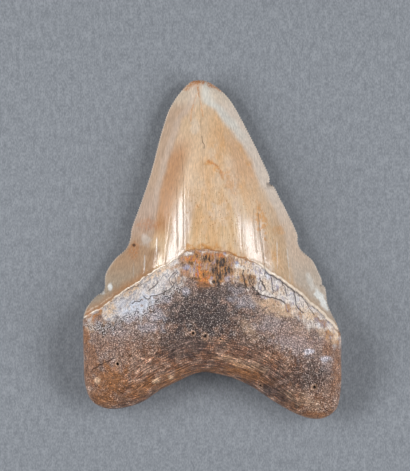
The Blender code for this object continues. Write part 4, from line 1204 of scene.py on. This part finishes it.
def make_tooth(lowest, highest):
    """The finished tooth, within these corners: one closed mesh with three materials."""
    base = bpy.data.objects.new("tooth_net", surface_mesh())
    bpy.context.scene.collection.objects.link(base)
    tree, keys = serrated_tree([fossil_enamel(), bourlette_skin(), root_dentine()])
    modifier = base.modifiers.new("serrate and roughen", "NODES")
    modifier.node_group = tree
    for name, value in TREE_INPUTS:
        modifier[keys[name]] = value
    seen = base.evaluated_get(bpy.context.evaluated_depsgraph_get())
    mesh = bpy.data.meshes.new_from_object(seen, preserve_all_data_layers=True,
                                           depsgraph=bpy.context.evaluated_depsgraph_get())
    base.modifiers.clear()
    bpy.data.objects.remove(base)
    places = np.empty(3 * len(mesh.vertices))
    mesh.vertices.foreach_get("co", places)
    mesh.vertices.foreach_set("co", np.clip(places.reshape(-1, 3), lowest, highest).ravel())
    mesh.shade_smooth()
    piece = bpy.data.objects.new("fossil_tooth", mesh)
    bpy.context.scene.collection.objects.link(piece)
    return piece


# ---------------------------------------------------------------------------------------------------
# Stage

# The frame is 157 mm high, with the tooth a little right of its middle and below it.
FRAME_HEIGHT = 157 * MM
FRAME_CENTRE = (-2.33 * MM, 4.58 * MM)
RIM_HEIGHT = 4 * MM
CAMERA_DISTANCE = 0.8
SENSOR = 36.0


def make_camera():
    """Straight above, with a long lens, as over a copy stand."""
    data = bpy.data.cameras.new("camera")
    data.sensor_width = SENSOR
    data.lens = SENSOR * CAMERA_DISTANCE / FRAME_HEIGHT
    data.clip_start = 0.01
    camera = bpy.data.objects.new("camera", data)
    camera.location = (*FRAME_CENTRE, RIM_HEIGHT + CAMERA_DISTANCE)
    bpy.context.scene.collection.objects.link(camera)
    bpy.context.scene.camera = camera


# Softboxes: (name, slant towards +X, slant towards +Y in degrees, width, length in metres, watts to a
# square metre, whether it shows in the polish).
SOFTBOXES = [
    ("left softbox", -51.5, 20, 0.18, 0.38, 36.0, True),
    ("right softbox", 50.5, 16, 0.22, 0.30, 35.0, True),
    ("left fill", -64, -28, 0.25, 0.35, 33.0, False),
    ("right fill", 60, -32, 0.25, 0.35, 31.0, False),
]
SOFTBOX_DISTANCE = 0.75


def softbox(name, slant_x, slant_y, width, length, watts_per_m2, glossy):
    """A lamp that slants from straight above by these angles, turned towards the middle of the tooth."""
    lamp = bpy.data.lights.new(name, "AREA")
    lamp.shape = "RECTANGLE"
    lamp.size = width
    lamp.size_y = length
    lamp.energy = watts_per_m2 * width * length
    box = bpy.data.objects.new(name, lamp)
    box.visible_glossy = glossy
    towards = Vector((math.tan(math.radians(slant_x)), math.tan(math.radians(slant_y)), 1.0)).normalized()
    across = Vector((0.0, 1.0, 0.0)).cross(towards).normalized()
    box.location = towards * SOFTBOX_DISTANCE
    box.rotation_euler = Matrix((across, towards.cross(across), towards)).transposed().to_euler()
    bpy.context.scene.collection.objects.link(box)


def make_lights():
    """Two softboxes that show in the polish, two fills that don't, and a faint grey room."""
    for box in SOFTBOXES:
        softbox(*box)
    world = bpy.data.worlds.new("studio")
    world.use_nodes = True
    backdrop = world.node_tree.nodes["Background"]
    backdrop.inputs["Color"].default_value = linear("#E6EAF0")
    backdrop.inputs["Strength"].default_value = 0.05
    bpy.context.scene.world = world


def make_floor():
    """A sheet of pale grey studio paper."""
    bpy.ops.mesh.primitive_plane_add(size=3.0, location=(0, 0, 0))
    floor = bpy.context.object
    floor.name = "floor"
    material, tree, shader = new_material("grey paper")
    place = add(tree, "ShaderNodeTexCoord").outputs["Object"]
    pulp = grain(tree, place, 0.45, (1, 0.5, 1), 2.0)
    cloud = grain(tree, place, 1.4, (1, 0.4, 1), 3.0)
    colour = painted(tree, linear("#8C9198"), [
        ("#757A81", 0.5, (cloud, 0.5, 0.3)),
        ("#A3A8AF", 0.5, (cloud, 0.5, 0.7)),
        ("#7B8087", 0.7, (pulp, 0.5, 0.32)),
        ("#9DA2A9", 0.7, (pulp, 0.5, 0.68)),
    ])
    tree.links.new(colour, shader.inputs["Base Color"])
    shader.inputs["Roughness"].default_value = 0.9
    floor.data.materials.append(material)


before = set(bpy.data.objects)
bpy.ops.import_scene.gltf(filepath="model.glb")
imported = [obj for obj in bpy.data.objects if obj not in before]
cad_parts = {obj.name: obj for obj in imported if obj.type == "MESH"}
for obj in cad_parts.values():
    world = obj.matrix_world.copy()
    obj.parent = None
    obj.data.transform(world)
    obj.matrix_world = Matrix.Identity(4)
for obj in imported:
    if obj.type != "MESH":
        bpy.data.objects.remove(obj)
cad_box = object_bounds()
make_camera()
tooth_piece = make_tooth(*cad_box)
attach(tooth_piece, "root")
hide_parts("tooth")
make_floor()
make_lights()
bpy.context.scene.view_settings.view_transform = "Standard"
